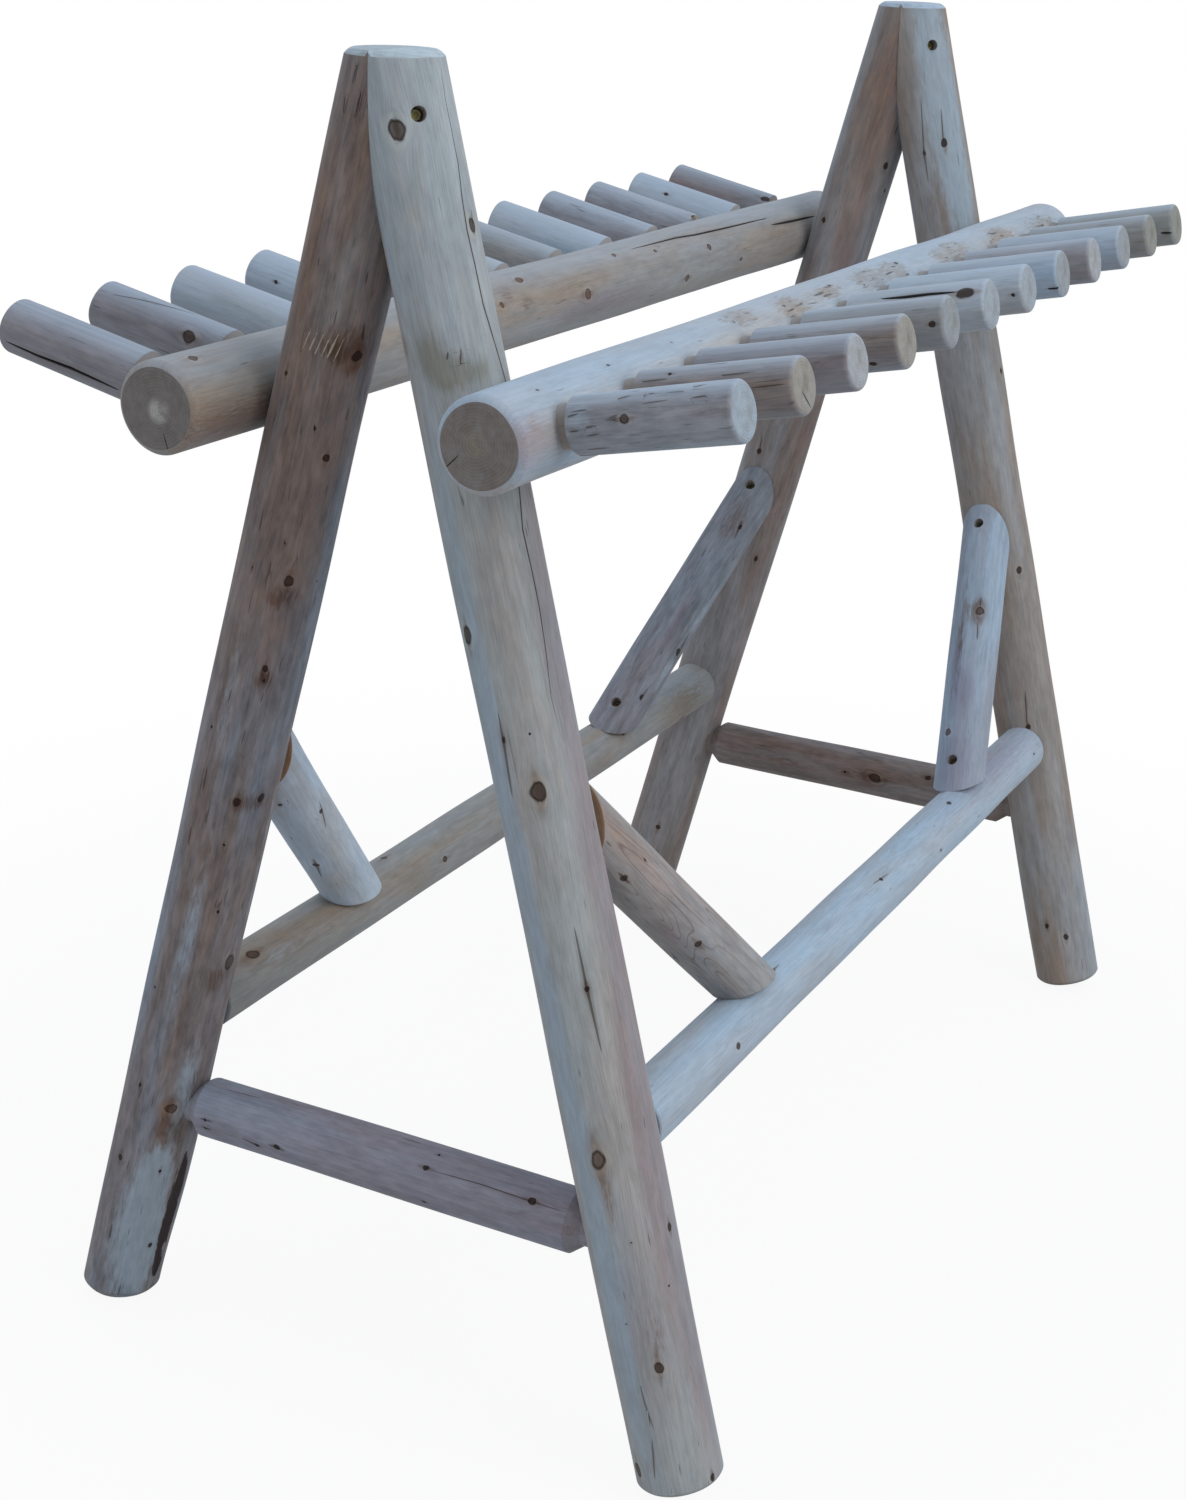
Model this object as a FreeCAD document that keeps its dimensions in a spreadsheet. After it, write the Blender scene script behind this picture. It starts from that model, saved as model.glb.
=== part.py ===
import FreeCAD, Part
import Sketcher
import os
import re

# Freestanding ski rack of peeled round logs.
# Two A-frames carry two rails. Each rail holds a row of pegs, and skis stand between the pegs.
# X runs along the rails, Y across the rack and Z up. The origin is on the floor under the middle.
# The near end is at -X and the right side is at -Y. All sizes are in millimetres and degrees.

SIZES = {
    # A-frame legs
    "leg_dia": 100,
    "leg_spread": 783,             # between the centre lines of two legs, where they meet the floor
    "crossing_height": 1533,       # where the centre lines of two legs cross
    "top_rise": 9,                 # from that crossing up to the sawn top
    "top_bevel": 5,
    "foot_bevel_right": 6,
    "foot_bevel_left": 18,
    "frame_spacing": 1470,         # between the two A-frames
    # Rails
    "rail_dia": 100,
    "rail_drop_right": 343,        # from the legs' crossing down to the rail's centre line
    "rail_drop_left": 356,
    "rail_overhang": 147,          # past the centre of each A-frame
    "rail_end_bevel": 7,
    "rail_cope": 1.5,              # depth of the saddle that beds a rail on a leg
    # Pegs
    "peg_dia": 61,
    "peg_tilt": 12,                # up from level
    "peg_projection": 190,         # from the rail's skin to the tip
    "peg_tenon_dia": 46,
    "peg_tenon_depth": 60,
    "peg_neck": 8,                 # tenon left showing outside the rail
    "peg_shoulder": 5,
    "peg_end_bevel": 5,
    "peg_margin_right": 89.4,      # from a rail's end to its first peg
    "peg_margin_left": 63.8,
    # End rungs
    "rung_dia": 72,
    "rung_height": 290,
    "rung_tenon_dia": 47,
    "rung_tenon_depth": 60,
    "rung_neck": 2,                # tenon left showing outside the leg
    "rung_shoulder": 16,
    # Side stretchers
    "stretcher_dia": 74,
    "stretcher_rise": 112,         # above the rungs
    "stretcher_seat": 5,           # depth of the housing in the leg
    "stretcher_end_bevel": 2,
    # Braces
    "brace_dia": 75,
    "brace_rise": 404,             # up the leg from the stretcher
    "brace_run_near_right": 395,   # along the stretcher from the leg
    "brace_run_near_left": 381,
    "brace_run_far_right": 357,
    "brace_run_far_left": 403,
    "brace_seat": 1,               # depth of the housings in leg and stretcher
    # Screws and their holes
    "screw_head_dia": 13,
    "screw_head_height": 5,
    "screw_head_bevel": 1,
    "screw_shank_dia": 7,
    "screw_socket_width": 6,
    "screw_socket_depth": 3,
    "apex_screw_length": 80,
    "brace_screw_length": 90,
    "rail_screw_length": 125,
    "counterbore_depth": 20,
    "apex_screw_drop": 58,         # below the legs' crossing
    "apex_screw_turn": 134,        # round the leg, from the far end towards the outside
    "brace_screw_inset": 68,       # along the brace, from the centre line of what it meets
    "toe_screw_inset": 45,         # along the stretcher, from its end
    "toe_screw_angle": 45,
    # Clearances
    "tenon_clearance": 0.15,
    "housing_clearance": 0.5,
    "counterbore_clearance": 1.5,
    "shank_clearance": 0.1,
    "tip_clearance": 2,
}

PEGS_PER_RAIL = 12
SOCKET_SIDES = 6
ENDS = {-1: "near", 1: "far"}
SIDES = {-1: "right", 1: "left"}
X_AXIS = "1; 0; 0"
Y_AXIS = "0; 1; 0"
Z_AXIS = "0; 0; 1"

doc = FreeCAD.newDocument("ski_rack")
sheet = doc.addObject("Spreadsheet::Sheet", "Sizes")
for row, (alias, size) in enumerate(SIZES.items(), start=1):
    sheet.set(f"A{row}", alias.replace("_", " "))
    sheet.set(f"B{row}", str(size))
    sheet.setAlias(f"B{row}", alias)
doc.recompute()


# Formulas on the sheet

def on_sheet(formula):
    """The formula with each size's name written as its cell on the sheet."""
    return re.sub(r"[a-z]+(_[a-z]+)+", lambda word: f"Sizes.{word.group()}", formula)


def number(formula):
    """The present value of a formula, as a plain number."""
    result = sheet.evalExpression(on_sheet(formula))
    return float(getattr(result, "Value", result))


def bind(item, **formulas):
    """Ties an object's properties to formulas on the sheet."""
    for name, formula in formulas.items():
        item.setExpression(name, on_sheet(formula))
    return item


def place(x="0", y="0", z="0", axis=Z_AXIS, angle="0"):
    """Formula of a placement: a shift, then a turn about an axis."""
    return f"placement(vector({x}; {y}; {z}); rotation(vector({axis}); {angle}))"


def chain(*places):
    """Formula of placements carried one inside the next."""
    return " * ".join(places)


# Shapes

def cylinder(name, diameter, length, where):
    item = doc.addObject("Part::Cylinder", name)
    return bind(item, Radius=f"({diameter}) / 2", Height=length, Placement=where)


def cone(name, low_radius, high_radius, height, where):
    item = doc.addObject("Part::Cone", name)
    return bind(item, Radius1=low_radius, Radius2=high_radius, Height=height, Placement=where)


def box(name, length, width, height, where):
    item = doc.addObject("Part::Box", name)
    return bind(item, Length=length, Width=width, Height=height, Placement=where)


def common(name, first, second):
    item = doc.addObject("Part::Common", name)
    item.Base = first
    item.Tool = second
    return item


def fuse(name, items):
    item = doc.addObject("Part::MultiFuse", name)
    item.Shapes = items
    return item


def cut(name, base, tools):
    item = doc.addObject("Part::Cut", name)
    item.Base = base
    item.Tool = tools[0] if len(tools) == 1 else fuse(f"{name}_waste", tools)
    return item


def copy_of(master, name, where):
    item = doc.addObject("App::Link", name)
    item.LinkedObject = master
    return bind(item, Placement=where)


def turned(name, outline, where):
    """A body turned about its own Z axis from an outline of (radius, height) corners."""
    corners = [("0", outline[0][1])] + outline + [("0", outline[-1][1])]
    points = [FreeCAD.Vector(number(radius), number(height), 0) for radius, height in corners]
    body = doc.addObject("PartDesign::Body", name)
    sketch = body.newObject("Sketcher::SketchObject", f"{name}_outline")
    planes = {item.Role: item for item in body.Origin.OriginFeatures}
    sketch.AttachmentSupport = [(planes["XZ_Plane"], "")]
    sketch.MapMode = "FlatFace"
    for index, point in enumerate(points):
        sketch.addGeometry(Part.LineSegment(point, points[(index + 1) % len(points)]), False)
    join_and_size(sketch, corners, points)
    revolution = body.newObject("PartDesign::Revolution", f"{name}_turning")
    revolution.Profile = sketch
    revolution.ReferenceAxis = (sketch, ["V_Axis"])
    revolution.Angle = 360
    return bind(body, Placement=where)


def join_and_size(sketch, corners, points):
    """Closes a sketch's lines into a loop and ties each corner to its formulas."""
    origin, start, finish = -1, 1, 2
    level_axis, upright_axis = -1, -2
    for index, (radius, height) in enumerate(corners):
        following = (index + 1) % len(corners)
        sketch.addConstraint(Sketcher.Constraint("Coincident", index, finish, following, start))
        for kind, formula, value, axis in (
            ("DistanceX", radius, points[index].x, upright_axis),
            ("DistanceY", height, points[index].y, level_axis),
        ):
            if formula == "0":
                on_axis = Sketcher.Constraint("PointOnObject", index, start, axis)
                sketch.addConstraint(on_axis)
            else:
                distance = Sketcher.Constraint(kind, origin, start, index, start, value)
                added = sketch.addConstraint(distance)
                sketch.setExpression(f"Constraints[{added}]", on_sheet(formula))


def log_outline(diameter, length, bevel):
    """Outline of a round log with both ends sawn square and bevelled."""
    radius = f"{diameter} / 2"
    return [
        (f"{radius} - {bevel}", "0"),
        (radius, bevel),
        (radius, f"{length} - {bevel}"),
        (f"{radius} - {bevel}", length),
    ]


# Lines and places that several pieces share

LEAN = "atan(leg_spread / 2 / crossing_height)"
TOP_HEIGHT = "(crossing_height + top_rise)"
STRETCHER_HEIGHT = "(rung_height + stretcher_rise)"
RAIL_LENGTH = "(frame_spacing + 2 * rail_overhang)"
RAIL_REACH = "(leg_dia / 2 + rail_dia / 2 - rail_cope)"
LEG_SEAT = "(leg_dia / 2 - stretcher_seat)"
STRETCHER_LENGTH = f"(frame_spacing - 2 * {LEG_SEAT})"


def leg_frame(end, side):
    """At a leg's foot, with Z up along the leg."""
    return place(f"{end} * frame_spacing / 2", f"{side} * leg_spread / 2", "0", X_AXIS, f"{side} * {LEAN}")


def corner_frame(end, side):
    """Where the centre lines of a leg and its stretcher meet, with Z up along the leg."""
    return chain(leg_frame(end, side), place(z=f"{STRETCHER_HEIGHT} / cos({LEAN})"))


def brace_run(end, side):
    return f"brace_run_{ENDS[end]}_{SIDES[side]}"


def brace_frame(end, side):
    """At a brace's lower end on the stretcher's centre line, with Z up along the brace."""
    run = brace_run(end, side)
    slope = f"{end} * atan({run} / brace_rise)"
    return chain(corner_frame(end, side), place(x=f"-1 * {end} * {run}", axis=Y_AXIS, angle=slope))


def rail_drop(side):
    return f"rail_drop_{SIDES[side]}"


def rail_centre(side, x):
    """On a rail's centre line, at a distance along the rack."""
    inset = f"leg_spread / 2 * {rail_drop(side)} / crossing_height + {RAIL_REACH} / cos({LEAN})"
    return place(x, f"{side} * ({inset})", f"crossing_height - {rail_drop(side)}")


# What is cut away from each piece, and the finished pieces in the order they are made

waste = {}
nodes = []


def cut_away(tool, *pieces):
    for piece in pieces:
        waste.setdefault(piece, []).append(tool)


def finish_piece(name, blank):
    nodes.append(cut(name, blank, waste[name]))


def leg_name(end, side):
    return f"{ENDS[end]}_{SIDES[side]}_leg"


def brace_name(end, side):
    return f"{ENDS[end]}_{SIDES[side]}_brace"


# Legs: logs sawn level on top and mitred where the pair meets
# The right legs are sawn square at the foot, so they stand on its inner edge. The left ones are sawn level.

def end_bevel(name, bevel, where):
    """A ring that bevels the rim of a standing log at 45 degrees."""
    reach = f"({bevel} + leg_dia / 4)"
    disc = cylinder(f"{name}_disc", "2 * leg_dia", reach, where)
    core = cone(f"{name}_core", f"leg_dia / 2 - {bevel}", "leg_dia * 3 / 4", reach, where)
    return cut(name, disc, [core])


def foot_bevel(side):
    return f"foot_bevel_{SIDES[side]}"


def foot_frame(end, side):
    """On the saw cut of a leg's foot, with Z up from the cut."""
    if SIDES[side] == "left":
        return place(f"{end} * frame_spacing / 2", f"{side} * leg_spread / 2")
    inner_edge = f"(leg_dia / 2 - {foot_bevel(side)}) * tan({LEAN})"
    return chain(leg_frame(end, side), place(z=inner_edge))


def leg_blank(end, side):
    name = leg_name(end, side)
    middle = f"{end} * frame_spacing / 2"
    start = chain(leg_frame(end, side), place(z="-1 * leg_dia"))
    log = cylinder(f"{name}_log", "leg_dia", f"{TOP_HEIGHT} / cos({LEAN}) + 2 * leg_dia", start)
    width = "(leg_spread / 2 + leg_dia)"
    low_side = "0" if side > 0 else f"-1 * {width}"
    corner = place(f"{middle} - leg_dia", low_side, "-1 * leg_dia")
    room = box(f"{name}_room", "2 * leg_dia", width, f"{TOP_HEIGHT} + leg_dia", corner)
    foot = foot_frame(end, side)
    under = chain(foot, place("-1 * leg_dia", "-1 * leg_dia", "-2 * leg_dia"))
    top = place(middle, "0", TOP_HEIGHT, X_AXIS, "180")
    cut_away(box(f"{name}_foot_waste", "2 * leg_dia", "2 * leg_dia", "2 * leg_dia", under), name)
    cut_away(end_bevel(f"{name}_foot_ring", foot_bevel(side), foot), name)
    cut_away(end_bevel(f"{name}_top_ring", "top_bevel", top), name)
    cut_away(log, f"{SIDES[side]}_rail")
    return common(f"{name}_blank", log, room)


# End rungs: coned at both ends down to tenons that bottom in the legs

RUNG_LEG = "leg_spread / 2 * (1 - rung_height / crossing_height)"
RUNG_SKIN = f"({RUNG_LEG} - leg_dia / 2 / cos({LEAN}))"
RUNG_HALF = f"({RUNG_SKIN} + rung_tenon_depth)"


def make_rung(end):
    name = f"{ENDS[end]}_rung"
    tenon = "(rung_tenon_depth + rung_neck)"
    shoulder = f"({tenon} + rung_shoulder)"
    length = f"(2 * {RUNG_HALF})"
    outline = [
        ("rung_tenon_dia / 2", "0"),
        ("rung_tenon_dia / 2", tenon),
        ("rung_dia / 2", shoulder),
        ("rung_dia / 2", f"{length} - {shoulder}"),
        ("rung_tenon_dia / 2", f"{length} - {tenon}"),
        ("rung_tenon_dia / 2", length),
    ]
    for side in SIDES:
        bottom = place(
            f"{end} * frame_spacing / 2", f"{side} * {RUNG_HALF}", "rung_height", X_AXIS, f"{side} * 90"
        )
        if side > 0:
            nodes.append(turned(name, outline, bottom))
        depth = "rung_tenon_depth + leg_dia / 4"
        bore = "rung_tenon_dia + 2 * tenon_clearance"
        mortise = cylinder(f"{name}_{SIDES[side]}_mortise", bore, depth, bottom)
        cut_away(mortise, leg_name(end, side))


# Side stretchers: logs sawn square that sit in shallow housings in the legs

def stretcher_blank(side):
    name = f"{SIDES[side]}_stretcher"
    inset = f"{side} * leg_spread / 2 * (1 - {STRETCHER_HEIGHT} / crossing_height)"
    start = place(f"-1 * {STRETCHER_LENGTH} / 2", inset, STRETCHER_HEIGHT, Y_AXIS, "90")
    width = "stretcher_dia + 2 * housing_clearance"
    housing = cylinder(f"{name}_housing", width, STRETCHER_LENGTH, start)
    for end in ENDS:
        cut_away(housing, leg_name(end, side))
    outline = log_outline("stretcher_dia", STRETCHER_LENGTH, "stretcher_end_bevel")
    return turned(f"{name}_log", outline, start)


# Braces: sawn flat at both ends to sit in shallow housings in a leg and a stretcher

def brace_blank(end, side):
    name = brace_name(end, side)
    run = brace_run(end, side)
    leg_face = "(leg_dia / 2 - brace_seat)"
    stretcher_face = "(stretcher_dia / 2 - brace_seat)"
    low_x = leg_face if end < 0 else f"-1 * ({leg_face} + 2 * {run})"
    corner = chain(corner_frame(end, side), place(low_x, "-1 * brace_dia", stretcher_face))
    between = box(f"{name}_between", f"2 * {run}", "2 * brace_dia", "2 * brace_rise", corner)
    start = chain(brace_frame(end, side), place(z="-1 * brace_dia"))
    length = f"hypot({run}; brace_rise) + 2 * brace_dia"
    log = cylinder(f"{name}_log", "brace_dia", length, start)
    wide_log = cylinder(f"{name}_wide_log", "brace_dia + 2 * housing_clearance", length, start)
    housing = common(f"{name}_housing", wide_log, between)
    cut_away(housing, leg_name(end, side), f"{SIDES[side]}_stretcher")
    return common(f"{name}_blank", log, between)


# Rails: logs with bevelled ends, bedded on the legs by shallow saddles

def rail_blank(side):
    start = chain(rail_centre(side, f"-1 * {RAIL_LENGTH} / 2"), place(axis=Y_AXIS, angle="90"))
    outline = log_outline("rail_dia", RAIL_LENGTH, "rail_end_bevel")
    return turned(f"{SIDES[side]}_rail_log", outline, start)


# Pegs: turned pieces with a bevelled tip, a coned shoulder and a tenon that bottoms in the rail

PEG_LENGTH = "(peg_tenon_depth + peg_projection)"
PEG_OUTLINE = [
    ("peg_tenon_dia / 2", "0"),
    ("peg_tenon_dia / 2", "peg_tenon_depth + peg_neck"),
    ("peg_dia / 2", "peg_tenon_depth + peg_neck + peg_shoulder"),
    ("peg_dia / 2", f"{PEG_LENGTH} - peg_end_bevel"),
    ("peg_dia / 2 - peg_end_bevel", PEG_LENGTH),
]


def make_pegs(side):
    pitch = f"({RAIL_LENGTH} - 2 * peg_margin_{SIDES[side]}) / {PEGS_PER_RAIL - 1}"
    for index in range(PEGS_PER_RAIL):
        name = f"{SIDES[side]}_peg_{index + 1:02d}"
        from_middle = index - (PEGS_PER_RAIL - 1) / 2
        tilt = place(axis=X_AXIS, angle=f"{side} * (peg_tilt - 90)")
        bottom = place(z="rail_dia / 2 - peg_tenon_depth")
        where = chain(rail_centre(side, f"{from_middle} * {pitch}"), tilt, bottom)
        nodes.append(turned(name, PEG_OUTLINE, where))
        bore = "peg_tenon_dia + 2 * tenon_clearance"
        mortise = cylinder(f"{name}_mortise", bore, "peg_tenon_depth + rail_dia / 4", where)
        cut_away(mortise, f"{SIDES[side]}_rail")


# Screws: a round head with a hexagon socket, sunk in a counterbore. Z runs from tip to head.

def screw_master(kind, length):
    head_top = f"({length} + screw_head_height)"
    outline = [
        ("screw_shank_dia / 4", "0"),
        ("screw_shank_dia / 2", "screw_shank_dia"),
        ("screw_shank_dia / 2", length),
        ("screw_head_dia / 2", length),
        ("screw_head_dia / 2", f"{head_top} - screw_head_bevel"),
        ("screw_head_dia / 2 - screw_head_bevel", head_top),
    ]
    blank = turned(f"{kind}_turning", outline, place())
    socket = doc.addObject("Part::Prism", f"{kind}_socket")
    socket.Polygon = SOCKET_SIDES
    low = place(z=f"{head_top} - screw_socket_depth")
    bind(socket, Circumradius="screw_socket_width / sqrt(3)", Height="screw_socket_depth", Placement=low)
    return cut(f"{kind}_master", blank, [socket])


def hole_master(kind, length):
    pilot = cylinder(
        f"{kind}_pilot",
        "screw_shank_dia + 2 * shank_clearance",
        f"{length} + tip_clearance",
        place(z="-1 * tip_clearance"),
    )
    bore = "screw_head_dia + 2 * counterbore_clearance"
    counterbore = cylinder(f"{kind}_counterbore", bore, "counterbore_depth + leg_dia / 4", place(z=length))
    return fuse(f"{kind}_hole", [pilot, counterbore])


class ScrewSet:
    """Like screws that share one node. Each is sunk from a surface, where Z points out of the wood."""

    def __init__(self, kind, length):
        self.kind = kind
        self.depth = f"-1 * (counterbore_depth + {length})"
        self.screw = screw_master(kind, length)
        self.hole = hole_master(kind, length)
        self.driven = []

    def drive(self, surface, *pieces):
        name = f"{self.kind}_{len(self.driven) + 1}"
        where = chain(surface, place(z=self.depth))
        self.driven.append(copy_of(self.screw, name, where))
        cut_away(copy_of(self.hole, f"{name}_hole", where), *pieces)

    def finish(self):
        group = doc.addObject("Part::Compound", f"{self.kind}s")
        group.Links = self.driven
        nodes.append(group)


def drive_apex_screw(screws, end):
    """Through the right leg, across the mitre, into the left leg."""
    height = f"(crossing_height - apex_screw_drop) / cos({LEAN})"
    surface = chain(
        leg_frame(end, -1),
        place(z=height, angle="-1 * apex_screw_turn"),
        place(axis=Y_AXIS, angle="90"),
        place(z="leg_dia / 2"),
    )
    screws.drive(surface, leg_name(end, -1), leg_name(end, 1))


def drive_brace_screws(screws, end, side):
    """Square to the brace from its upper side, one into the stretcher and one into the leg."""
    upper = f"hypot({brace_run(end, side)}; brace_rise) - brace_screw_inset"
    for along, other in (("brace_screw_inset", f"{SIDES[side]}_stretcher"), (upper, leg_name(end, side))):
        square = place(z=along, axis=Y_AXIS, angle=f"{-end} * 90")
        surface = chain(brace_frame(end, side), square, place(z="brace_dia / 2"))
        screws.drive(surface, brace_name(end, side), other)


def drive_stretcher_screw(screws, end, side):
    """Slanting up from the underside of the stretcher's end into the leg."""
    along = f"{-end} * ({LEG_SEAT} + toe_screw_inset)"
    underside = place(along, "0", "-1 * stretcher_dia / 2", Y_AXIS, f"{-end} * (180 - toe_screw_angle)")
    surface = chain(corner_frame(end, side), underside)
    screws.drive(surface, f"{SIDES[side]}_stretcher", leg_name(end, side))


def drive_rail_screw(screws, end, side):
    """From the rail's outer side, square to the leg, through the saddle into the leg."""
    height = f"(crossing_height - {rail_drop(side)} - {RAIL_REACH} * sin({LEAN})) / cos({LEAN})"
    across = place(z=height, axis=X_AXIS, angle=f"{-side} * 90")
    surface = chain(leg_frame(end, side), across, place(z=f"{RAIL_REACH} + rail_dia / 2"))
    screws.drive(surface, f"{SIDES[side]}_rail", leg_name(end, side))


# The rack: blanks first, then the joints between them, then the finished pieces

corners = [(end, side) for end in ENDS for side in SIDES]
leg_blanks = {corner: leg_blank(*corner) for corner in corners}
brace_blanks = {corner: brace_blank(*corner) for corner in corners}
stretcher_blanks = {side: stretcher_blank(side) for side in SIDES}
rail_blanks = {side: rail_blank(side) for side in SIDES}

for end in ENDS:
    make_rung(end)
for side in SIDES:
    make_pegs(side)

apex_screws = ScrewSet("apex_screw", "apex_screw_length")
brace_screws = ScrewSet("brace_screw", "brace_screw_length")
stretcher_screws = ScrewSet("stretcher_screw", "brace_screw_length")
rail_screws = ScrewSet("rail_screw", "rail_screw_length")
for end in ENDS:
    drive_apex_screw(apex_screws, end)
for corner in corners:
    drive_brace_screws(brace_screws, *corner)
    drive_stretcher_screw(stretcher_screws, *corner)
    drive_rail_screw(rail_screws, *corner)

for corner in corners:
    finish_piece(leg_name(*corner), leg_blanks[corner])
    finish_piece(brace_name(*corner), brace_blanks[corner])
for side in SIDES:
    finish_piece(f"{SIDES[side]}_stretcher", stretcher_blanks[side])
    finish_piece(f"{SIDES[side]}_rail", rail_blanks[side])
for screws in (apex_screws, brace_screws, stretcher_screws, rail_screws):
    screws.finish()

doc.recompute()

failed = [item.Name for item in doc.Objects if {"Invalid", "Error"} & set(item.State)]
for node in nodes:
    solids = len(node.Links) if hasattr(node, "Links") else 1
    if node.Shape.isNull() or not node.Shape.isValid() or len(node.Shape.Solids) != solids:
        failed.append(node.Label)
if failed:
    raise RuntimeError(f"these objects failed: {failed}")

os.makedirs("parts", exist_ok=True)
for node in nodes:
    node.Shape.exportStep(f"parts/{node.Label}.step")
print(f"{len(nodes)} pieces written")
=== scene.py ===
# %% [markdown]
# # A ski rack of peeled logs
#
# The rack stands on four leaning legs. Two rails carry twelve pegs each, and rungs, stretchers and
# braces keep the legs apart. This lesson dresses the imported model: every log becomes a numpy surface
# with its own knots, drying checks and weathered colour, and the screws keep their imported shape.

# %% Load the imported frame
import math
from collections import namedtuple

import bpy
import numpy as np
from mathutils import Matrix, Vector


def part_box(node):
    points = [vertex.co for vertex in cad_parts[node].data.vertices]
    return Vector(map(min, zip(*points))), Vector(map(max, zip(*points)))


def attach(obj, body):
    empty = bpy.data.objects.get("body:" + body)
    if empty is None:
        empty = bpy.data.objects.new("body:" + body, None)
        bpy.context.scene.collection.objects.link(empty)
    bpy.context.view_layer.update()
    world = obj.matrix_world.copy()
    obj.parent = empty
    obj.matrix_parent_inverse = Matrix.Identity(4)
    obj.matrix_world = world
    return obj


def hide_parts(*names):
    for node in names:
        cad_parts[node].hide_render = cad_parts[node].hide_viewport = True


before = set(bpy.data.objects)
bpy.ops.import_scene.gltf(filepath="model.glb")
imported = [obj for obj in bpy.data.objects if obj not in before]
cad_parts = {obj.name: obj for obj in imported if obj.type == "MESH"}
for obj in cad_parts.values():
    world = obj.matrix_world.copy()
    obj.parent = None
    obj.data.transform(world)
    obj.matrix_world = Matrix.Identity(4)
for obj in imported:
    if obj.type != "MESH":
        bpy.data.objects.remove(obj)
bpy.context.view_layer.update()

# %% [markdown]
# ## Camera
#
# The photograph was taken from a little above the near right corner, with the camera tilted down and
# very slightly rolled. A camera can be aimed with a Track To constraint, but its matrix written out
# from heading, pitch and roll is easier to reuse: the same three axes later tell which point of a log
# lies under a pixel of the photograph. The picture was cropped, so the lens axis is off its middle.

# %% The camera's place and axes
FOCAL_PIXELS = 2369.2
LENS_AXIS_X = 608.8
LENS_AXIS_Y = 616.7
CAMERA_AT = np.array([-2.7871, -1.2944, 1.7169])
HEADING = math.radians(26.743)
PITCH = math.radians(-17.452)
ROLL = math.radians(2.058)

forward = np.array([
    math.cos(PITCH) * math.cos(HEADING),
    math.cos(PITCH) * math.sin(HEADING),
    math.sin(PITCH),
])
level_right = np.array([math.sin(HEADING), -math.cos(HEADING), 0.0])
level_up = np.cross(level_right, forward)
camera_right = math.cos(ROLL) * level_right + math.sin(ROLL) * level_up
camera_up = math.cos(ROLL) * level_up - math.sin(ROLL) * level_right


def sight_line(x, y):
    """Direction from the camera through a pixel: forward, plus the pixel's steps from the lens axis."""
    steps_right = (x - LENS_AXIS_X) / FOCAL_PIXELS
    steps_down = (y - LENS_AXIS_Y) / FOCAL_PIXELS
    return forward + steps_right * camera_right - steps_down * camera_up


print("camera looks along", np.round(forward, 3).tolist())

# %% The camera
IMAGE_WIDE = 1186
IMAGE_TALL = 1500
SENSOR_TALL = 24.0
NEAREST_SEEN = 0.05
scene = bpy.context.scene


def add_object(name, data):
    """A new object in the scene for a mesh, a lamp or a camera."""
    made = bpy.data.objects.new(name, data)
    scene.collection.objects.link(made)
    return made


def stand(thing, place, axes):
    """Put an object at a place, with its own three axes along the columns of axes."""
    thing.matrix_world = Matrix.Translation(place) @ Matrix(axes.tolist()).to_4x4()


lens = bpy.data.cameras.new("photo_camera")
lens.sensor_fit = "VERTICAL"
lens.sensor_height = SENSOR_TALL
lens.lens = FOCAL_PIXELS * SENSOR_TALL / IMAGE_TALL
lens.shift_x = (IMAGE_WIDE / 2 - LENS_AXIS_X) / IMAGE_TALL
lens.shift_y = (LENS_AXIS_Y - IMAGE_TALL / 2) / IMAGE_TALL
lens.clip_start = NEAREST_SEEN
camera = add_object("photo_camera", lens)
stand(camera, CAMERA_AT, np.column_stack([camera_right, camera_up, -forward]))
scene.camera = camera
print("lens", round(lens.lens, 2), "shift", round(lens.shift_x, 4), round(lens.shift_y, 4))

# %% [markdown]
# ## The logs as lines
#
# Each log of the rack is a straight line with a thickness. The sizes below are those of the packed
# model, in metres: X runs along the rails, Y across the rack, Z up. A log could be a cylinder with
# modifiers on it, but then a knot or a check could not be placed on it by its distance along the log
# and its turn around it, so a small class keeps that frame of every log.

# %% Sizes of the rack
LEG_RADIUS = 0.050
RAIL_RADIUS = 0.050
PEG_RADIUS = 0.0305
PEG_TENON_RADIUS = 0.023
RUNG_RADIUS = 0.036
RUNG_TENON_RADIUS = 0.0235
STRETCHER_RADIUS = 0.037
BRACE_RADIUS = 0.0375

FRAME_HALF = 0.735
FOOT_HALF = 0.3915
CROSSING_HEIGHT = 1.533
TOP_HEIGHT = 1.542
LEAN = math.atan2(FOOT_HALF, CROSSING_HEIGHT)
RUNG_HEIGHT = 0.290
STRETCHER_HEIGHT = 0.402
RAIL_HALF = 0.882
STRETCHER_HALF = 0.690
ENDS = {"near": -1, "far": 1}
SIDES = {"right": -1, "left": 1}
RAIL_HEIGHT = {"right": 1.190, "left": 1.177}
RAIL_REACH = {"right": 0.18926, "left": 0.19258}
ALONG_RACK = np.array([1.0, 0.0, 0.0])
ACROSS_RACK = np.array([0.0, 1.0, 0.0])
UPWARDS = np.array([0.0, 0.0, 1.0])
print("legs lean", round(math.degrees(LEAN), 2), "degrees")

# %% A log's own frame
Cut = namedtuple("Cut", "point normal")
GRIDS = {"leg": (144, 540), "rung": (96, 240), "stretcher": (96, 440), "brace": (96, 240),
         "rail": (128, 520), "peg": (80, 76)}
PLAIN_BEVEL = 0.002
PLAIN_ROUNDNESS = 0.5
UNSAWN_RIM = (0.0, 0.0)


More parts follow.
